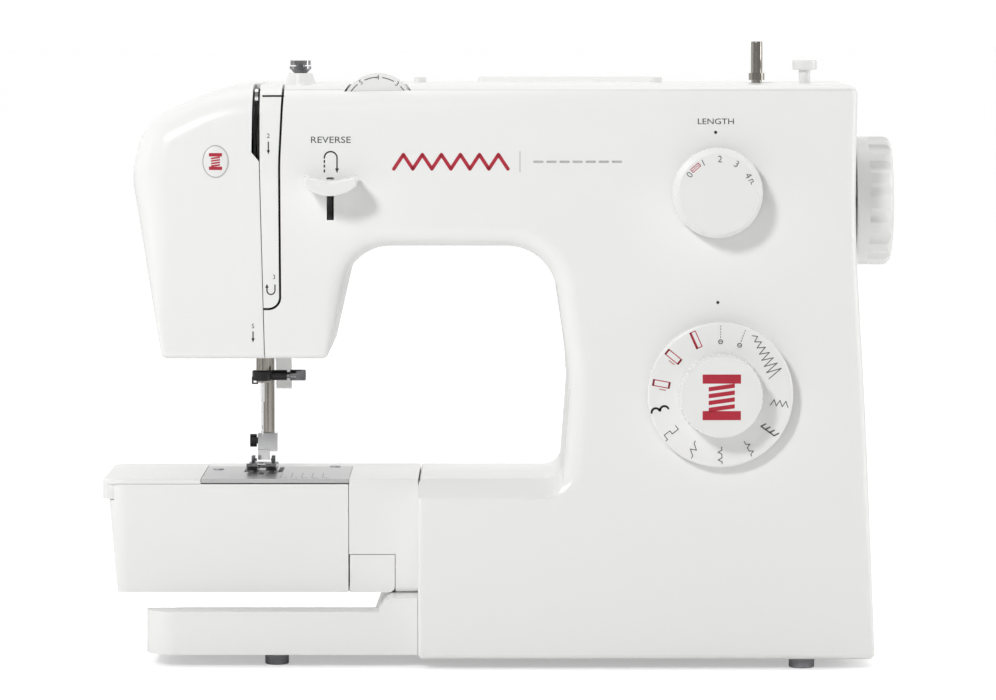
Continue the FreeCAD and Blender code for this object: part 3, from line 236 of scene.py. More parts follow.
def dashes(start, end, count, share=0.6):
    """Short runs along the line from start to end."""
    (x0, y0), (x1, y1) = start, end
    whole = count - 1 + share
    runs = []
    for i in range(count):
        ends = (i / whole, (i + share) / whole)
        runs.append([(x0 + (x1 - x0) * t, y0 + (y1 - y0) * t) for t in ends])
    return runs


# ---------------------------------------------------------------- finishes
def finish(name, colour, roughness, metallic=0.0, coat=0.0, shade=0.03, mottle=9.0, grain=420.0,
           relief=0.00001, uneven=0.05, stretch=(1, 1, 1), transmission=0.0):
    """A finish with a cloudy colour change, uneven polish and fine relief; on the bar and foot
    chrome the colour change is strong enough to paint light and dark reflections.

    mottle and grain are spots per metre, relief is the grain's height in metres.
    """
    material = bpy.data.materials.new(name)
    material.use_nodes = True
    nodes, links = material.node_tree.nodes, material.node_tree.links
    shader = nodes["Principled BSDF"]
    shader.inputs["Metallic"].default_value = metallic
    shader.inputs["Coat Weight"].default_value = coat
    shader.inputs["Coat Roughness"].default_value = 0.08
    shader.inputs["Transmission Weight"].default_value = transmission
    place = nodes.new("ShaderNodeTexCoord")
    spread = nodes.new("ShaderNodeMapping")
    spread.inputs["Scale"].default_value = stretch
    links.new(place.outputs["Object"], spread.inputs["Vector"])

    cloud = nodes.new("ShaderNodeTexNoise")
    cloud.inputs["Scale"].default_value = mottle
    cloud.inputs["Detail"].default_value = 3.0
    links.new(spread.outputs["Vector"], cloud.inputs["Vector"])
    tint = nodes.new("ShaderNodeMix")
    tint.data_type = "RGBA"
    tint.inputs["A"].default_value = (*[c * (1 - shade) for c in colour], 1)
    tint.inputs["B"].default_value = (*[min(1, c * (1 + shade)) for c in colour], 1)
    links.new(cloud.outputs["Fac"], tint.inputs["Factor"])
    links.new(tint.outputs["Result"], shader.inputs["Base Color"])

    fine = nodes.new("ShaderNodeTexNoise")
    fine.inputs["Scale"].default_value = grain
    fine.inputs["Detail"].default_value = 2.0
    links.new(spread.outputs["Vector"], fine.inputs["Vector"])
    polish = nodes.new("ShaderNodeMapRange")
    polish.inputs["To Min"].default_value = max(0.02, roughness - uneven)
    polish.inputs["To Max"].default_value = min(1.0, roughness + uneven)
    links.new(fine.outputs["Fac"], polish.inputs["Value"])
    links.new(polish.outputs["Result"], shader.inputs["Roughness"])
    bump = nodes.new("ShaderNodeBump")
    bump.inputs["Strength"].default_value = 0.5
    bump.inputs["Distance"].default_value = relief
    links.new(fine.outputs["Fac"], bump.inputs["Height"])
    links.new(bump.outputs["Normal"], shader.inputs["Normal"])
    return material


def make_finishes(look):
    """Every finish of the machine, by name."""
    finish("casing", look.casing, 0.2, coat=0.35, shade=0.012, relief=0.000012)
    finish("controls", look.controls, 0.3, coat=0.15, shade=0.012, grain=900, relief=0.00001)
    finish("inner_plastic", (0.55, 0.55, 0.545), 0.5, grain=1200, relief=0.00002)
    finish("plate_steel", (0.36, 0.36, 0.365), 0.3, metallic=1, shade=0.12, mottle=60, grain=500,
           relief=0.000006, uneven=0.1, stretch=(0.06, 5, 1))
    finish("chrome", (0.78, 0.78, 0.79), 0.1, metallic=1, shade=0.04, mottle=40, grain=700,
           relief=0.000003, uneven=0.05)
    finish("steel", (0.42, 0.42, 0.43), 0.27, metallic=1, shade=0.1, mottle=80, grain=900,
           relief=0.000006, uneven=0.08, stretch=(1, 1, 0.1))
    # dark chrome of the needle bar, presser bar and winder spindle, with strong vertical streaks of
    # light and dark painted into its colour as studio reflections
    finish("bar_chrome", (0.34, 0.32, 0.29), 0.16, metallic=1, shade=0.85, mottle=330, grain=700,
           relief=0.000003, uneven=0.06, stretch=(1, 1, 0.02))
    # dark chrome of the presser foot, clamp screw and bobbin guide stud, with blotches of light and
    # dark painted into its colour as reflections
    finish("foot_chrome", (0.3, 0.3, 0.31), 0.2, metallic=1, shade=0.8, mottle=260, grain=700,
           relief=0.000006, uneven=0.08)
    finish("blackened_steel", (0.035, 0.034, 0.036), 0.32, metallic=0.6, shade=0.2, mottle=90,
           grain=900, relief=0.00001)
    finish("cast_frame", (0.42, 0.43, 0.44), 0.5, metallic=1, shade=0.12, mottle=70, grain=700,
           relief=0.00008, uneven=0.12)
    finish("bronze", (0.45, 0.25, 0.1), 0.4, metallic=1, shade=0.15, mottle=120, grain=1500,
           relief=0.00002)
    finish("motor_paint", (0.02, 0.02, 0.023), 0.4, coat=0.2, shade=0.15, mottle=60, grain=900,
           relief=0.00003)
    finish("belt_rubber", (0.015, 0.015, 0.015), 0.75, shade=0.2, mottle=100, grain=1500,
           relief=0.00005)
    finish("foot_rubber", (0.66, 0.66, 0.63), 0.7, shade=0.15, mottle=120, grain=1600,
           relief=0.00005)
    finish("dark_plastic", (0.02, 0.02, 0.022), 0.45, shade=0.15, mottle=60, grain=1300,
           relief=0.00002)
    # near-black used as painted shade in the take-up slot and the screw crosses, and for the card
    # that only mirror rays see
    finish("slot_black", (0.004, 0.004, 0.004), 0.8, shade=0.3, mottle=60, grain=900,
           relief=0.00002)
    finish("lamp_glass", (0.95, 0.93, 0.86), 0.12, shade=0.01, grain=300, transmission=0.85)
    finish("ink", look.ink, 0.5, shade=0.25, mottle=500, grain=2500, relief=0.000004)
    finish("grey_ink", (0.13, 0.13, 0.135), 0.5, shade=0.2, mottle=500, grain=2500,
           relief=0.000004)
    finish("plate_ink", (0.3, 0.3, 0.3), 0.5, shade=0.1, mottle=500, grain=2500, relief=0.000004)
    finish("pale_ink", (0.5, 0.5, 0.5), 0.5, shade=0.05, mottle=500, grain=2500, relief=0.000004)
    finish("red_ink", look.accent, 0.42, coat=0.2, shade=0.08, mottle=300, grain=2500,
           relief=0.000004)


# nodes whose finish differs from their slot's own; the bar and foot chrome carry painted light and
# dark reflections in their colour
NODE_FINISH = {
    "ankle_screw": "blackened_steel", "needle_clamp": "blackened_steel",
    "needle_bar": "bar_chrome", "presser_bar": "bar_chrome", "presser_foot": "foot_chrome",
    "clamp_screw": "foot_chrome", "bobbin_guide_stud": "foot_chrome",
    "winder_spindle": "bar_chrome", "presser_ankle": "chrome", "needle": "chrome",
    "drive_belt": "belt_rubber",
}


class SewingOperator(bpy.types.Operator):
    """Shared by the operators: they all work on the open scene"""
    bl_idname = "sewing.base"
    bl_label = "Sewing Machine Step"
    bl_options = {"REGISTER", "UNDO"}


class SEWING_OT_finishes(SewingOperator):
    """Make the finishes and give every frame node its own"""
    bl_idname = "sewing.finishes"
    bl_label = "Finishes"

    def execute(self, context):
        make_finishes(context.scene.sewing_finishes)
        for part in frame["record"]["subparts"]:
            node = part["node"]
            material = bpy.data.materials[NODE_FINISH.get(node, part["material_slot"])]
            mesh = frame["nodes"][node].data
            if not mesh.materials:
                mesh.materials.append(material)
            for place in frame["nodes"][node].material_slots:
                place.material = material
        return {"FINISHED"}


# ---------------------------------------------------------------- printed marks
REVERSE_X = -79.2
LENGTH_DOT_Z, PATTERN_DOT_Z = 254.5, 174.1
DOT_RADIUS = 0.75


def middle_of(node):
    """Middle of a node's box, in millimetres."""
    low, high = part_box(node)
    return (Vector(low) + Vector(high)) / 2 / MM


class SEWING_OT_front_marks(SewingOperator):
    """Print the reverse pictogram, the two words and the two index dots on the front"""
    bl_idname = "sewing.front_marks"
    bl_label = "Front Marks"

    def execute(self, context):
        line = context.scene.sewing_marks.bold_line / MM * 0.85
        bm = bmesh.new()
        add_text(bm, front_sheet("front_cover", REVERSE_X, 251.0), "REVERSE", 3.0, stretch=1.18)
        add_text(bm, front_sheet("front_cover", middle_of("length_dial").x - 0.6, 259.7), "LENGTH",
                 2.7, stretch=1.18)
        sheet = front_sheet("front_cover", REVERSE_X, 242.4)
        add_stroke(bm, sheet, arc(0, 0, 3.0, 0, 180, steps=18), line)
        add_stroke(bm, sheet, [(3.0, 0), (3.0, -5.0)], line)
        add_arrow(bm, sheet, 3.0, -7.2, -90, 1.5)
        for run in dashes((-3.0, -1.2), (-3.0, -6.6), 3, share=0.4):
            add_stroke(bm, sheet, run, line)
        add_disc(bm, front_sheet("front_cover", middle_of("length_dial").x - 0.7, LENGTH_DOT_Z),
                 DOT_RADIUS, ink_depth())
        add_disc(bm, front_sheet("front_cover", middle_of("pattern_dial").x - 0.9, PATTERN_DOT_Z),
                 DOT_RADIUS, ink_depth())
        piece_of("front_marks", bm, "case", "ink")
        return {"FINISHED"}


class SEWING_OT_stitch_band(SewingOperator):
    """Print a plain band of stitches where a maker would put a name"""
    bl_idname = "sewing.stitch_band"
    bl_label = "Stitch Band"

    def execute(self, context):
        sheet = front_sheet("front_cover", 9.2, 240.6)
        zigzag = [(-58.5 + 4.5 * i, 3.4 if i % 2 else -3.4) for i in range(13)]
        bm = bmesh.new()
        add_stroke(bm, sheet, zigzag, 1.7)
        piece_of("stitch_band_red", bm, "case", "red_ink")
        bm = bmesh.new()
        add_stroke(bm, sheet, [(1.2, 4.8), (1.2, -4.8)], 0.4)
        for run in dashes((8.0, 0.0), (49.0, 0.0), 7, share=0.62):
            add_stroke(bm, sheet, run, 1.1)
        piece_of("stitch_band_grey", bm, "case", "pale_ink")
        return {"FINISHED"}


class SEWING_OT_threading_marks(SewingOperator):
    """Print the threading numbers and arrows beside the take-up slot"""
    bl_idname = "sewing.threading_marks"
    bl_label = "Threading Marks"

    def execute(self, context):
        fine = context.scene.sewing_marks.fine_line / MM
        bm = bmesh.new()
        add_text(bm, front_sheet("thread_guide_strip", -108.7, 252.9), "2", 2.1)
        sheet = front_sheet("thread_guide_strip", -108.7, 247.1)
        add_stroke(bm, sheet, [(0, 2.8), (0, -1.4)], fine * 1.3)
        add_arrow(bm, sheet, 0, -3.0, -90, 1.3)
        add_text(bm, front_sheet("thread_guide_strip", -106.0, 186.2), "3", 2.1)
        sheet = front_sheet("thread_guide_strip", -107.5, 179.8)
        add_stroke(bm, sheet, [(-1.9, 1.4)] + arc(0, 0, 1.9, 180, 360) + [(1.9, 2.6)], fine * 1.3)
        add_arrow(bm, sheet, -1.9, 3.2, 90, 1.3)
        piece_of("threading_marks", bm, "case", "ink")
        bm = bmesh.new()
        add_text(bm, front_sheet("face_cover", -116.0, 163.0), "5", 2.1)
        sheet = front_sheet("face_cover", -116.0, 157.8)
        add_stroke(bm, sheet, [(0, 2.4), (0, -1.2)], fine * 1.3)
        add_arrow(bm, sheet, 0, -2.6, -90, 1.3)
        piece_of("face_cover_marks", bm, "face_door", "ink")
        return {"FINISHED"}


def dial_sheet(node, y):
    """The drawing sheet on a dial's face, y in millimetres."""
    middle = middle_of(node)
    return sheet_at(Vector((middle.x, y, middle.z)) * MM, Vector((0, -1, 0)))


LENGTH_NUMBERS = [("0", -56.6), ("1", -26.5), ("2", 2.0), ("3", 31.0), ("4", 58.5)]
LENGTH_NUMBER_RADIUS = 16.4


class SEWING_OT_length_marks(SewingOperator):
    """Print the numbers round the stitch length dial"""
    bl_idname = "sewing.length_marks"
    bl_label = "Length Dial Marks"

    def execute(self, context):
        fine = context.scene.sewing_marks.fine_line / MM
        sheet = dial_sheet("length_dial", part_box("length_dial")[0][1] / MM)
        bm = bmesh.new()
        for number, angle in LENGTH_NUMBERS:
            add_text(bm, sheet @ on_dial(angle, LENGTH_NUMBER_RADIUS), number, 3.1)
        hook = sheet @ on_dial(69.5, LENGTH_NUMBER_RADIUS)
        add_stroke(bm, hook, [(-0.9, -1.0), (-0.9, 0.9), (0.3, 0.9), (0.3, -0.4), (1.2, -0.4)],
                   fine * 0.8)
        piece_of("length_dial_marks", bm, "stitch_length", "grey_ink")
        bm = bmesh.new()
        bar = sheet @ on_dial(-41.5, LENGTH_NUMBER_RADIUS)
        add_stroke(bm, bar, [(-2.4, -0.9), (2.4, -0.9), (2.4, 0.9), (-2.4, 0.9)], fine * 0.8,
                   closed=True)
        add_stroke(bm, bar, [(-2.2, 0), (2.2, 0)], fine * 0.6)
        piece_of("length_dial_bar", bm, "stitch_length", "red_ink")
        return {"FINISHED"}


# stitch symbols: lines through (sideways, outwards) in millimetres from the symbol's own middle
def growing_zigzag():
    return [(-11.0 + 1.55 * i, (0.9 + 0.21 * i) * (1 if i % 2 else -1)) for i in range(15)]


def comb(base_side, teeth, tooth):
    half = 3.8
    lines = [[(base_side, -half), (base_side, half)]]
    for i in range(teeth):
        v = -half + 2 * half * i / (teeth - 1)
        lines.append([(base_side, v), (base_side + tooth, v + 1.1)])
    return lines


def peaks(side):
    return [[(0, -3.9), (0, -2.4), (side, -1.5), (0, -0.6), (0, 1.2), (side, 2.1), (0, 3.0),
             (0, 3.9)]]


STITCHES = [
    # angle, radius, heavy, lines
    (98.0, 28.2, False, [[(-1.4 if i % 2 else 1.4, -4.2 + 1.4 * i) for i in range(7)]]),
    (125.7, 28.0, True, comb(0.8, 4, -2.1)),
    (152.9, 28.6, False, peaks(-1.8)),
    (178.5, 28.6, False, peaks(1.8)),
    (206.2, 28.8, False, [[(1.0, -4.0), (1.0, -2.8), (-1.4, -0.4), (1.4, 0.4), (-1.0, 2.8),
                           (-1.0, 4.0)]]),
    (232.2, 29.4, False, [[(1.6, -3.8), (-0.6, -3.8), (-0.6, -0.2), (1.2, -0.2), (1.2, 3.2),
                           (-1.4, 3.2), (-1.4, 4.2)]]),
]
BUTTONHOLES = [(-79.3, 28.4), (-50.9, 28.7), (-24.1, 28.6)]      # angle, radius
STRAIGHT_STITCH_RADIUS = 28.8


class SEWING_OT_pattern_marks(SewingOperator):
    """Print the stitch symbols round the pattern dial"""
    bl_idname = "sewing.pattern_marks"
    bl_label = "Pattern Dial Marks"

    def execute(self, context):
        fine = context.scene.sewing_marks.fine_line / MM
        bold = context.scene.sewing_marks.bold_line / MM
        sheet = dial_sheet("pattern_dial", self.disc_face())
        bm = bmesh.new()
        for angle, dots_side in ((0.0, 0.0), (20.8, -0.9)):
            at = sheet @ on_dial(angle, STRAIGHT_STITCH_RADIUS)
            for run in dashes((0, -1.6), (dots_side + 0.9 if dots_side else 0, 3.9), 5, share=0.35):
                add_stroke(bm, at, run, fine * 0.8)
            add_stroke(bm, at, arc(0, -3.6, 0.95, 0, 342), fine * 0.9)
            add_stroke(bm, at, [(-0.5, -3.6), (0.5, -3.6)], fine * 0.7)
        for angle, radius, heavy, lines in STITCHES:
            for line in lines:
                width = fine * (1.5 if heavy else 0.95)
                add_stroke(bm, sheet @ on_dial(angle, radius), line, width)
        growing = sheet @ move(21.0, 18.9) @ turn(math.radians(-61.0))
        add_stroke(bm, growing, growing_zigzag(), fine * 0.95)
        scallop = sheet @ on_dial(-104.4, 29.6)
        add_stroke(bm, scallop, arc(-0.4, -2.2, 2.0, -80, 80), bold * 1.25)
        add_stroke(bm, scallop, arc(-0.4, 2.0, 2.0, -80, 80), bold * 1.25)
        piece_of("pattern_dial_marks", bm, "stitch_pattern", "grey_ink")
        bm = bmesh.new()
        for i, (angle, radius) in enumerate(BUTTONHOLES):
            at = sheet @ on_dial(angle, radius)
            add_stroke(bm, at, [(-1.4, -4.0), (1.4, -4.0), (1.4, 4.0), (-1.4, 4.0)], fine,
                       closed=True)
            if i < 2:
                for end in (-3.7, 3.7):
                    add_stroke(bm, at, [(-1.1, end), (1.1, end)], bold)
                add_stroke(bm, at, [(-2.6, -2.6), (-2.6, 0.4)], fine * 0.8)
            else:
                add_stroke(bm, at, [(-0.9, -3.7), (-0.9, 3.7)], bold)
        piece_of("pattern_dial_buttonholes", bm, "stitch_pattern", "red_ink")
        return {"FINISHED"}

    @staticmethod
    def disc_face():
        """Depth of the disc round the knob, found just outside the knob's skirt."""
        middle = middle_of("pattern_dial")
        sheet = front_sheet("pattern_dial", middle.x, middle.z + 28.0)
        return sheet.translation.y / MM


def add_spool(bm, place, width, height):
    """A plain reel of thread as a flat emblem."""
    end = height * 0.2
    for sign in (-1, 1):
        y0, y1 = sign * height / 2, sign * (height / 2 - end)
        low, high = min(y0, y1), max(y0, y1)
        add_patch(bm, place, [(-width / 2, low), (width / 2, low), (width / 2, high),
                              (-width / 2, high)])
    rows = 4
    body = height - 2 * end
    tall = body / rows * 0.62
    half = width * 0.34
    for i in range(rows):
        y = -body / 2 + body * (i + 0.5) / rows
        left, right = y - 0.05 * height, y + 0.03 * height
        add_patch(bm, place, [(-half, left - tall / 2), (half, right - tall / 2),
                              (half, right + tall / 2), (-half, left + tall / 2)])


BADGE_HEIGHT = 0.5      # half of it in the face cover


class SEWING_OT_emblems(SewingOperator):
    """Print a plain reel emblem on the pattern knob and an oval badge on the face cover"""
    bl_idname = "sewing.emblems"
    bl_label = "Emblems"

    def execute(self, context):
        knob = dial_sheet("pattern_dial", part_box("pattern_dial")[0][1] / MM)
        bm = bmesh.new()
        add_spool(bm, knob, 18.0, 21.5)
        piece_of("knob_emblem", bm, "stitch_pattern", "red_ink")
        badge = front_sheet("face_cover", -133.7, 240.7)
        oval = badge @ Matrix.Diagonal((1.0, 1.24, 1, 1))
        bm = bmesh.new()
        add_disc(bm, oval, 6.4, BADGE_HEIGHT, segments=64)
        bevelled = [e for e in bm.edges if len(e.link_faces) == 2]
        bmesh.ops.bevel(bm, geom=bevelled, offset=0.15 * MM, offset_type="OFFSET", affect="EDGES",
                        segments=2, profile=0.5, material=-1)
        piece_of("badge_plate", bm, "face_door", "controls", smooth=True)
        bm = bmesh.new()
        ring = [(6.0 * x, 7.5 * y) for x, y in arc(0, 0, 1, 0, 354, steps=59)]
        add_stroke(bm, badge @ move(0, 0, BADGE_HEIGHT / 2), ring, 0.45, closed=True)
        piece_of("badge_ring", bm, "face_door", "pale_ink")
        bm = bmesh.new()
        add_spool(bm, badge @ move(0, 0, BADGE_HEIGHT / 2), 6.2, 8.0)
        piece_of("badge_emblem", bm, "face_door", "red_ink")
        return {"FINISHED"}


TENSION_RADIUS = 15.4


class SEWING_OT_tension_marks(SewingOperator):
    """Print the numbers round the thread tension dial"""
    bl_idname = "sewing.tension_marks"
    bl_label = "Tension Dial Marks"

    def execute(self, context):
        fine = context.scene.sewing_marks.fine_line / MM
        sheet = dial_sheet("tension_dial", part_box("tension_dial")[0][1] / MM)
        bm = bmesh.new()
        for i, number in enumerate("4321098765"):
            angle = 36.5 * i
            if number != "0":
                add_text(bm, sheet @ on_dial(angle, TENSION_RADIUS), number, 2.3)
            between = [(TENSION_RADIUS * math.sin(math.radians(angle + a)),
                        TENSION_RADIUS * math.cos(math.radians(angle + a))) for a in range(8, 30, 3)]
            add_stroke(bm, sheet, between, fine)
        piece_of("tension_dial_marks", bm, "thread_tension", "grey_ink")
        return {"FINISHED"}


class SEWING_OT_plate_lines(SewingOperator):
    """Engrave the seam guide lines on the needle plate"""
    bl_idname = "sewing.plate_lines"
    bl_label = "Needle Plate Lines"

    def execute(self, context):
        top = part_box("needle_plate")[1][2]
        needle_x = middle_of("needle").x
        sheet = sheet_at(Vector((needle_x * MM, 0, top)), Vector((0, 0, 1)),
                         up=Vector((0, 1, 0)))
        bm = bmesh.new()
        for distance in (10, 15, 20, 25, 30):
            add_stroke(bm, sheet, [(distance, -8), (distance, -32)], 0.35)
            add_text(bm, sheet @ move(distance + 1.9, -33), str(distance), 1.9)
        piece_of("plate_lines", bm, "case", "plate_ink")
        return {"FINISHED"}


class SEWING_OT_switch_marks(SewingOperator):
    """Print the on and off signs on the power switch"""
    bl_idname = "sewing.switch_marks"
    bl_label = "Switch Marks"

    def execute(self, context):
        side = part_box("power_switch")[1][0]
        middle = middle_of("power_switch")
        sheet = sheet_at(Vector((side, middle.y * MM, middle.z * MM)), Vector((1, 0, 0)))
        bm = bmesh.new()
        add_stroke(bm, sheet, [(-3.0, 1.3), (-3.0, -1.3)], 0.5)
        add_stroke(bm, sheet, arc(3.0, 0, 1.2, 0, 342), 0.5)
        piece_of("switch_marks", bm, "switch_rocker", "pale_ink")
        return {"FINISHED"}


# ---------------------------------------------------------------- fittings
COVER_FRONT, COVER_BOTTOM, COVER_LEAN = -70.0, 5.0, 0.0551      # the front cover's sloping face
SLOT_SHADE_SET_BACK = 3.6


class SEWING_OT_slot_liner(SewingOperator):
    """Line the take-up slot and the thread channel with near-black sheets: painted shade for the
    dark inside of the slot
    """
    bl_idname = "sewing.slot_liner"
    bl_label = "Slot Liner"

    def execute(self, context):
        bm = bmesh.new()
        to_mm = Matrix.Scale(MM, 4)
        add_block(bm, to_mm, -118.4, -117.4, -51.0, -24.0, 230.0, 272.0)
        add_block(bm, to_mm, -112.4, -111.4, -51.0, -24.0, 230.0, 272.0)
        for z0, z1 in ((149.5, 190.0), (190.0, 231.0), (231.0, 272.0)):
            left = -111.6 if z0 > 200 else -114.5
            backing = add_block(bm, to_mm, left, -101.4, -0.5, 0.5, z0, z1)
            for corner in backing:
                slope = COVER_LEAN * (corner.co.z / MM - COVER_BOTTOM)
                corner.co.y += (COVER_FRONT + slope + SLOT_SHADE_SET_BACK) * MM
        # near-black side walls and backing: painted shade deep in the slot
        piece_of("slot_liner", bm, "case", "slot_black")
        return {"FINISHED"}


LAMP_X = -143.0


class SEWING_OT_lamp(SewingOperator):
    """Hang a small lamp in the head, left of the needle bar"""
    bl_idname = "sewing.lamp"
    bl_label = "Lamp"

    def execute(self, context):
        at = Matrix.Scale(MM, 4) @ move(LAMP_X, 0, 0)
        bm = bmesh.new()
        bulb = bmesh.ops.create_uvsphere(bm, u_segments=32, v_segments=16, radius=5.5,
                                         matrix=at @ move(0, 0, 158.0))["verts"]
        crown = [v for v in bulb if v.co.z > 158.5 * MM]
        bmesh.ops.delete(bm, geom=crown, context="VERTS")
        rim = [e for e in bm.edges if e.is_boundary]
        for rise in (6.0, 4.0):
            grown = bmesh.ops.extrude_edge_only(bm, edges=rim)["geom"]
            verts = [v for v in grown if isinstance(v, bmesh.types.BMVert)]
            rim = [e for e in grown if isinstance(e, bmesh.types.BMEdge)]
            bmesh.ops.translate(bm, vec=(0, 0, rise * MM), verts=verts)
        bmesh.ops.holes_fill(bm, edges=rim, sides=0)
        bmesh.ops.recalc_face_normals(bm, faces=bm.faces)
        piece_of("lamp_bulb", bm, "case", "lamp_glass", smooth=True)
        bm = bmesh.new()
        add_disc(bm, at @ move(0, 0, 172.0), 7.2, 12.0, segments=40)
        add_block(bm, at, -8.5, 8.5, -8.5, 8.5, 178.0, 181.0)
        bmesh.ops.bevel(bm, geom=list(bm.edges), offset=0.4 * MM, offset_type="OFFSET",
                        affect="EDGES", segments=2, profile=0.5, material=-1)
        piece_of("lamp_holder", bm, "case", "inner_plastic", smooth=True)
        return {"FINISHED"}


def add_coil(bm, middle, radius, wire, low, high, turns):
    """A round wire spring standing on end; lengths in millimetres."""
    steps = 14 * turns
    at = move((middle[0] + radius) * MM, middle[1] * MM, low * MM) @ turn(math.pi / 2, "X")
    ring = bmesh.ops.create_circle(bm, cap_ends=False, segments=8, radius=wire * MM,
                                   matrix=at)["verts"]
    edges = list({e for v in ring for e in v.link_edges})
    bmesh.ops.spin(bm, geom=ring + edges, cent=(middle[0] * MM, middle[1] * MM, low * MM),
                   axis=(0, 0, 1), dvec=(0, 0, (high - low) / steps * MM),
                   angle=2 * math.pi * turns, steps=steps, use_duplicate=False)
    bmesh.ops.holes_fill(bm, edges=[e for e in bm.edges if e.is_boundary], sides=0)
    bmesh.ops.recalc_face_normals(bm, faces=bm.faces)


# x and z of the cover screws
SCREW_PLACES = [(-140, 200), (150, 245), (60, 30), (150, 150), (-100, 262)]


class SEWING_OT_screw_recesses(SewingOperator):
    """Paint a near-black cross on the head of each rear cover screw: painted shade standing in for
    its cross recess
    """
    bl_idname = "sewing.screw_recesses"
    bl_label = "Screw Recesses"

    def execute(self, context):
        bm = bmesh.new()
        for x, z in SCREW_PLACES:
            start = Vector((x * MM, 1, z * MM))
            screws = frame["nodes"]["cover_screws"]
            hit, where, normal, _ = screws.ray_cast(start, Vector((0, -1, 0)))
            if not hit:
                raise RuntimeError("no cover screw at (%g, %g)" % (x, z))
            sheet = sheet_at(where, normal.normalized())
            for angle in (20, 110):
                along = sheet @ turn(math.radians(angle + x))
                add_stroke(bm, along, [(-1.3, 0), (1.3, 0)], 0.65)
        # flat near-black crosses: painted shade of the screw recesses
        piece_of("screw_recesses", bm, "case", "slot_black")
        return {"FINISHED"}


# the presser spring, between the bar's collar and the frame's upper lug
SPRING_LOW, SPRING_HIGH = 189.0, 210.0
SPRING_RADIUS, SPRING_WIRE, SPRING_TURNS = 4.6, 0.5, 8


class SEWING_OT_springs(SewingOperator):
    """Wind the spring round the presser bar"""
    bl_idname = "sewing.springs"
    bl_label = "Springs"

    def execute(self, context):
        middle = middle_of("presser_bar")
        bm = bmesh.new()
        add_coil(bm, (middle.x, middle.y), SPRING_RADIUS, SPRING_WIRE, SPRING_LOW, SPRING_HIGH,
                 SPRING_TURNS)
        spring = piece_of("presser_spring", bm, "case", "steel", smooth=True)
        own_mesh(spring)
        return {"FINISHED"}


# ---------------------------------------------------------------- stage
LIGHTS = [
    # name, place, aim, width, height, power
    ("key", (-0.95, -1.9, 1.35), (0, 0, 0.14), 0.4, 0.4, 24),
    ("left_side", (-2.2, -0.3, 0.7), (-0.1, 0, 0.15), 0.4, 1.4, 2.2),
    ("right_side", (2.2, -0.1, 0.6), (0.1, 0, 0.15), 0.4, 1.4, 13),
    ("top", (0.0, 0.2, 2.2), (0, 0, 0.1), 1.8, 1.2, 7),
]


ROOM_FRONT, ROOM_BACK = 0.35, 1.3      # brightness behind the operator and behind the machine
ROOM_SEEN, ROOM_LIT = 1.1, 0.75        # the room's strength as a backdrop, and as light
CARD_HALF_WIDTH, CARD_NEAR, CARD_FAR = 0.3, -1.06, -2.0      # a dark card seen only in mirror rays: painted dark reflections in metal and gloss
CARD_RISE = 0.001
FLOOR_GLOW = 0.42      # keeps the floor white to the eye without lighting the machine


def stage_sheet(name, half_x, half_y, place, segments, material):
    """A flat sheet of the stage, which is no part of the machine."""
    bm = bmesh.new()
    bmesh.ops.create_grid(bm, x_segments=segments, y_segments=segments, size=1.0,
                          matrix=place @ Matrix.Diagonal((half_x, half_y, 1, 1)))
    mesh = bpy.data.meshes.new(name)
    bm.to_mesh(mesh)
    bm.free()
    mesh.materials.append(material)
    sheet = bpy.data.objects.new(name, mesh)
    bpy.context.scene.collection.objects.link(sheet)
    return sheet


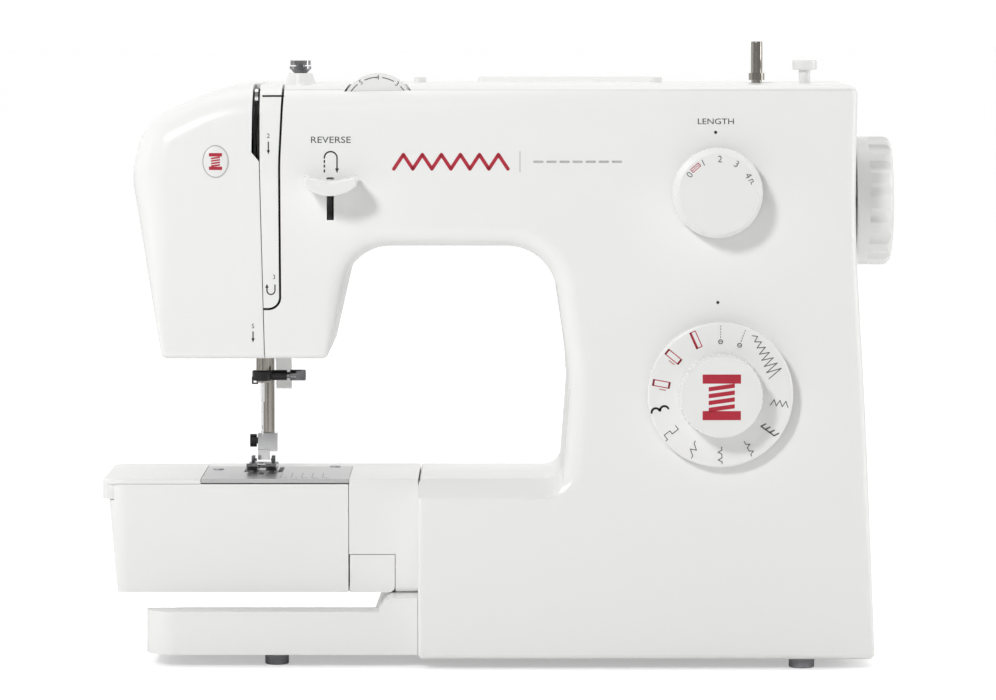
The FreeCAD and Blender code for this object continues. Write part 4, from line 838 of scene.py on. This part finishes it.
class SEWING_OT_stage(SewingOperator):
    """Set up the floor, the soft lights and the camera"""
    bl_idname = "sewing.stage"
    bl_label = "Stage"

    def execute(self, context):
        look = context.scene.sewing_stage
        half = look.floor_size / 2
        floor = stage_sheet("floor", half, half, move(), 8, self.paper())
        # a near-black card hidden from the camera, from diffuse light and from shadows, so that it
        # only paints dark reflections into metal and gloss
        mat = stage_sheet("mirror_only_dark_card", CARD_HALF_WIDTH, (CARD_NEAR - CARD_FAR) / 2,
                          move(0, (CARD_NEAR + CARD_FAR) / 2, CARD_RISE), 1,
                          bpy.data.materials["slot_black"])
        mat.visible_camera = mat.visible_diffuse = mat.visible_shadow = False

        for name, place, aim, width, height, power in LIGHTS:
            light = bpy.data.lights.new(name, "AREA")
            light.shape = "RECTANGLE"
            light.size, light.size_y, light.energy = width, height, power
            holder = bpy.data.objects.new(name, light)
            holder.location = place
            way = Vector(aim) - Vector(place)
            holder.rotation_euler = way.to_track_quat("-Z", "Y").to_euler()
            context.scene.collection.objects.link(holder)
        context.scene.world = self.room()

        camera = bpy.data.cameras.new("camera")
        camera.lens = look.lens
        camera.sensor_width = 36.0
        holder = bpy.data.objects.new("camera", camera)
        holder.location = (0, -look.camera_distance, look.camera_height)
        holder.rotation_euler = (math.pi / 2 - look.camera_tilt, 0, 0)
        context.scene.collection.objects.link(holder)
        context.scene.camera = holder
        context.scene.view_settings.view_transform = "Standard"
        return {"FINISHED"}

    @staticmethod
    def paper():
        """White paper for the floor, which glows for the camera only."""
        paper = finish("floor_paper", (0.9, 0.9, 0.9), 0.8, shade=0.004, mottle=3, grain=300,
                       relief=0.00002)
        nodes, links = paper.node_tree.nodes, paper.node_tree.links
        shader = nodes["Principled BSDF"]
        shader.inputs["Specular IOR Level"].default_value = 0.1
        shader.inputs["Emission Color"].default_value = (1, 1, 1, 1)
        seen = nodes.new("ShaderNodeLightPath")
        glow = nodes.new("ShaderNodeMath")
        glow.operation = "MULTIPLY"
        glow.inputs[1].default_value = FLOOR_GLOW
        links.new(seen.outputs["Is Camera Ray"], glow.inputs[0])
        links.new(glow.outputs["Value"], shader.inputs["Emission Strength"])
        return paper

    @staticmethod
    def room():
        """A white room, darker on the operator's side so that metal has something to mirror."""
        world = bpy.data.worlds.new("room")
        world.use_nodes = True
        nodes, links = world.node_tree.nodes, world.node_tree.links
        seen = nodes["Background"]
        seen.inputs["Color"].default_value = (1, 1, 1, 1)
        seen.inputs["Strength"].default_value = ROOM_SEEN
        lit = nodes.new("ShaderNodeBackground")
        lit.inputs["Strength"].default_value = ROOM_LIT
        way = nodes.new("ShaderNodeTexCoord")
        split = nodes.new("ShaderNodeSeparateXYZ")
        links.new(way.outputs["Generated"], split.inputs["Vector"])
        ramp = nodes.new("ShaderNodeMapRange")
        ramp.interpolation_type = "SMOOTHSTEP"
        ramp.inputs["From Min"].default_value = -0.5
        ramp.inputs["From Max"].default_value = 0.5
        ramp.inputs["To Min"].default_value = ROOM_FRONT
        ramp.inputs["To Max"].default_value = ROOM_BACK
        links.new(split.outputs["Y"], ramp.inputs["Value"])
        links.new(ramp.outputs["Result"], lit.inputs["Color"])
        path = nodes.new("ShaderNodeLightPath")
        mix = nodes.new("ShaderNodeMixShader")
        links.new(path.outputs["Is Camera Ray"], mix.inputs["Fac"])
        links.new(lit.outputs["Background"], mix.inputs[1])
        links.new(seen.outputs["Background"], mix.inputs[2])
        links.new(mix.outputs["Shader"], nodes["World Output"].inputs["Surface"])
        return world


# ---------------------------------------------------------------- add-on
STEPS = [
    SEWING_OT_finishes, SEWING_OT_front_marks, SEWING_OT_stitch_band, SEWING_OT_threading_marks,
    SEWING_OT_length_marks, SEWING_OT_pattern_marks, SEWING_OT_emblems, SEWING_OT_tension_marks,
    SEWING_OT_plate_lines, SEWING_OT_switch_marks, SEWING_OT_slot_liner, SEWING_OT_lamp,
    SEWING_OT_screw_recesses, SEWING_OT_springs, SEWING_OT_stage,
]


class SEWING_PT_panel(bpy.types.Panel):
    """The machine's sizes, colours and steps"""
    bl_idname = "SEWING_PT_panel"
    bl_label = "Sewing Machine"
    bl_space_type = "VIEW_3D"
    bl_region_type = "UI"
    bl_category = "Sewing"

    def draw(self, context):
        for settings in (context.scene.sewing_finishes, context.scene.sewing_marks,
                         context.scene.sewing_stage):
            box = self.layout.box()
            for name in settings.__annotations__:
                box.prop(settings, name)
        for step in STEPS:
            self.layout.operator(step.bl_idname)


SETTINGS = {"sewing_finishes": FinishSettings, "sewing_marks": MarkSettings,
            "sewing_stage": StageSettings}
CLASSES = [*SETTINGS.values(), *STEPS, SEWING_PT_panel]


def register():
    for cls in CLASSES:
        bpy.utils.register_class(cls)
    for name, cls in SETTINGS.items():
        setattr(bpy.types.Scene, name, PointerProperty(type=cls))


def unregister():
    for name in SETTINGS:
        delattr(bpy.types.Scene, name)
    for cls in reversed(CLASSES):
        bpy.utils.unregister_class(cls)


def main():
    register()
    for step in STEPS:
        group, name = step.bl_idname.split(".")
        getattr(getattr(bpy.ops, group), name)()


if __name__ == "__main__":
    main()
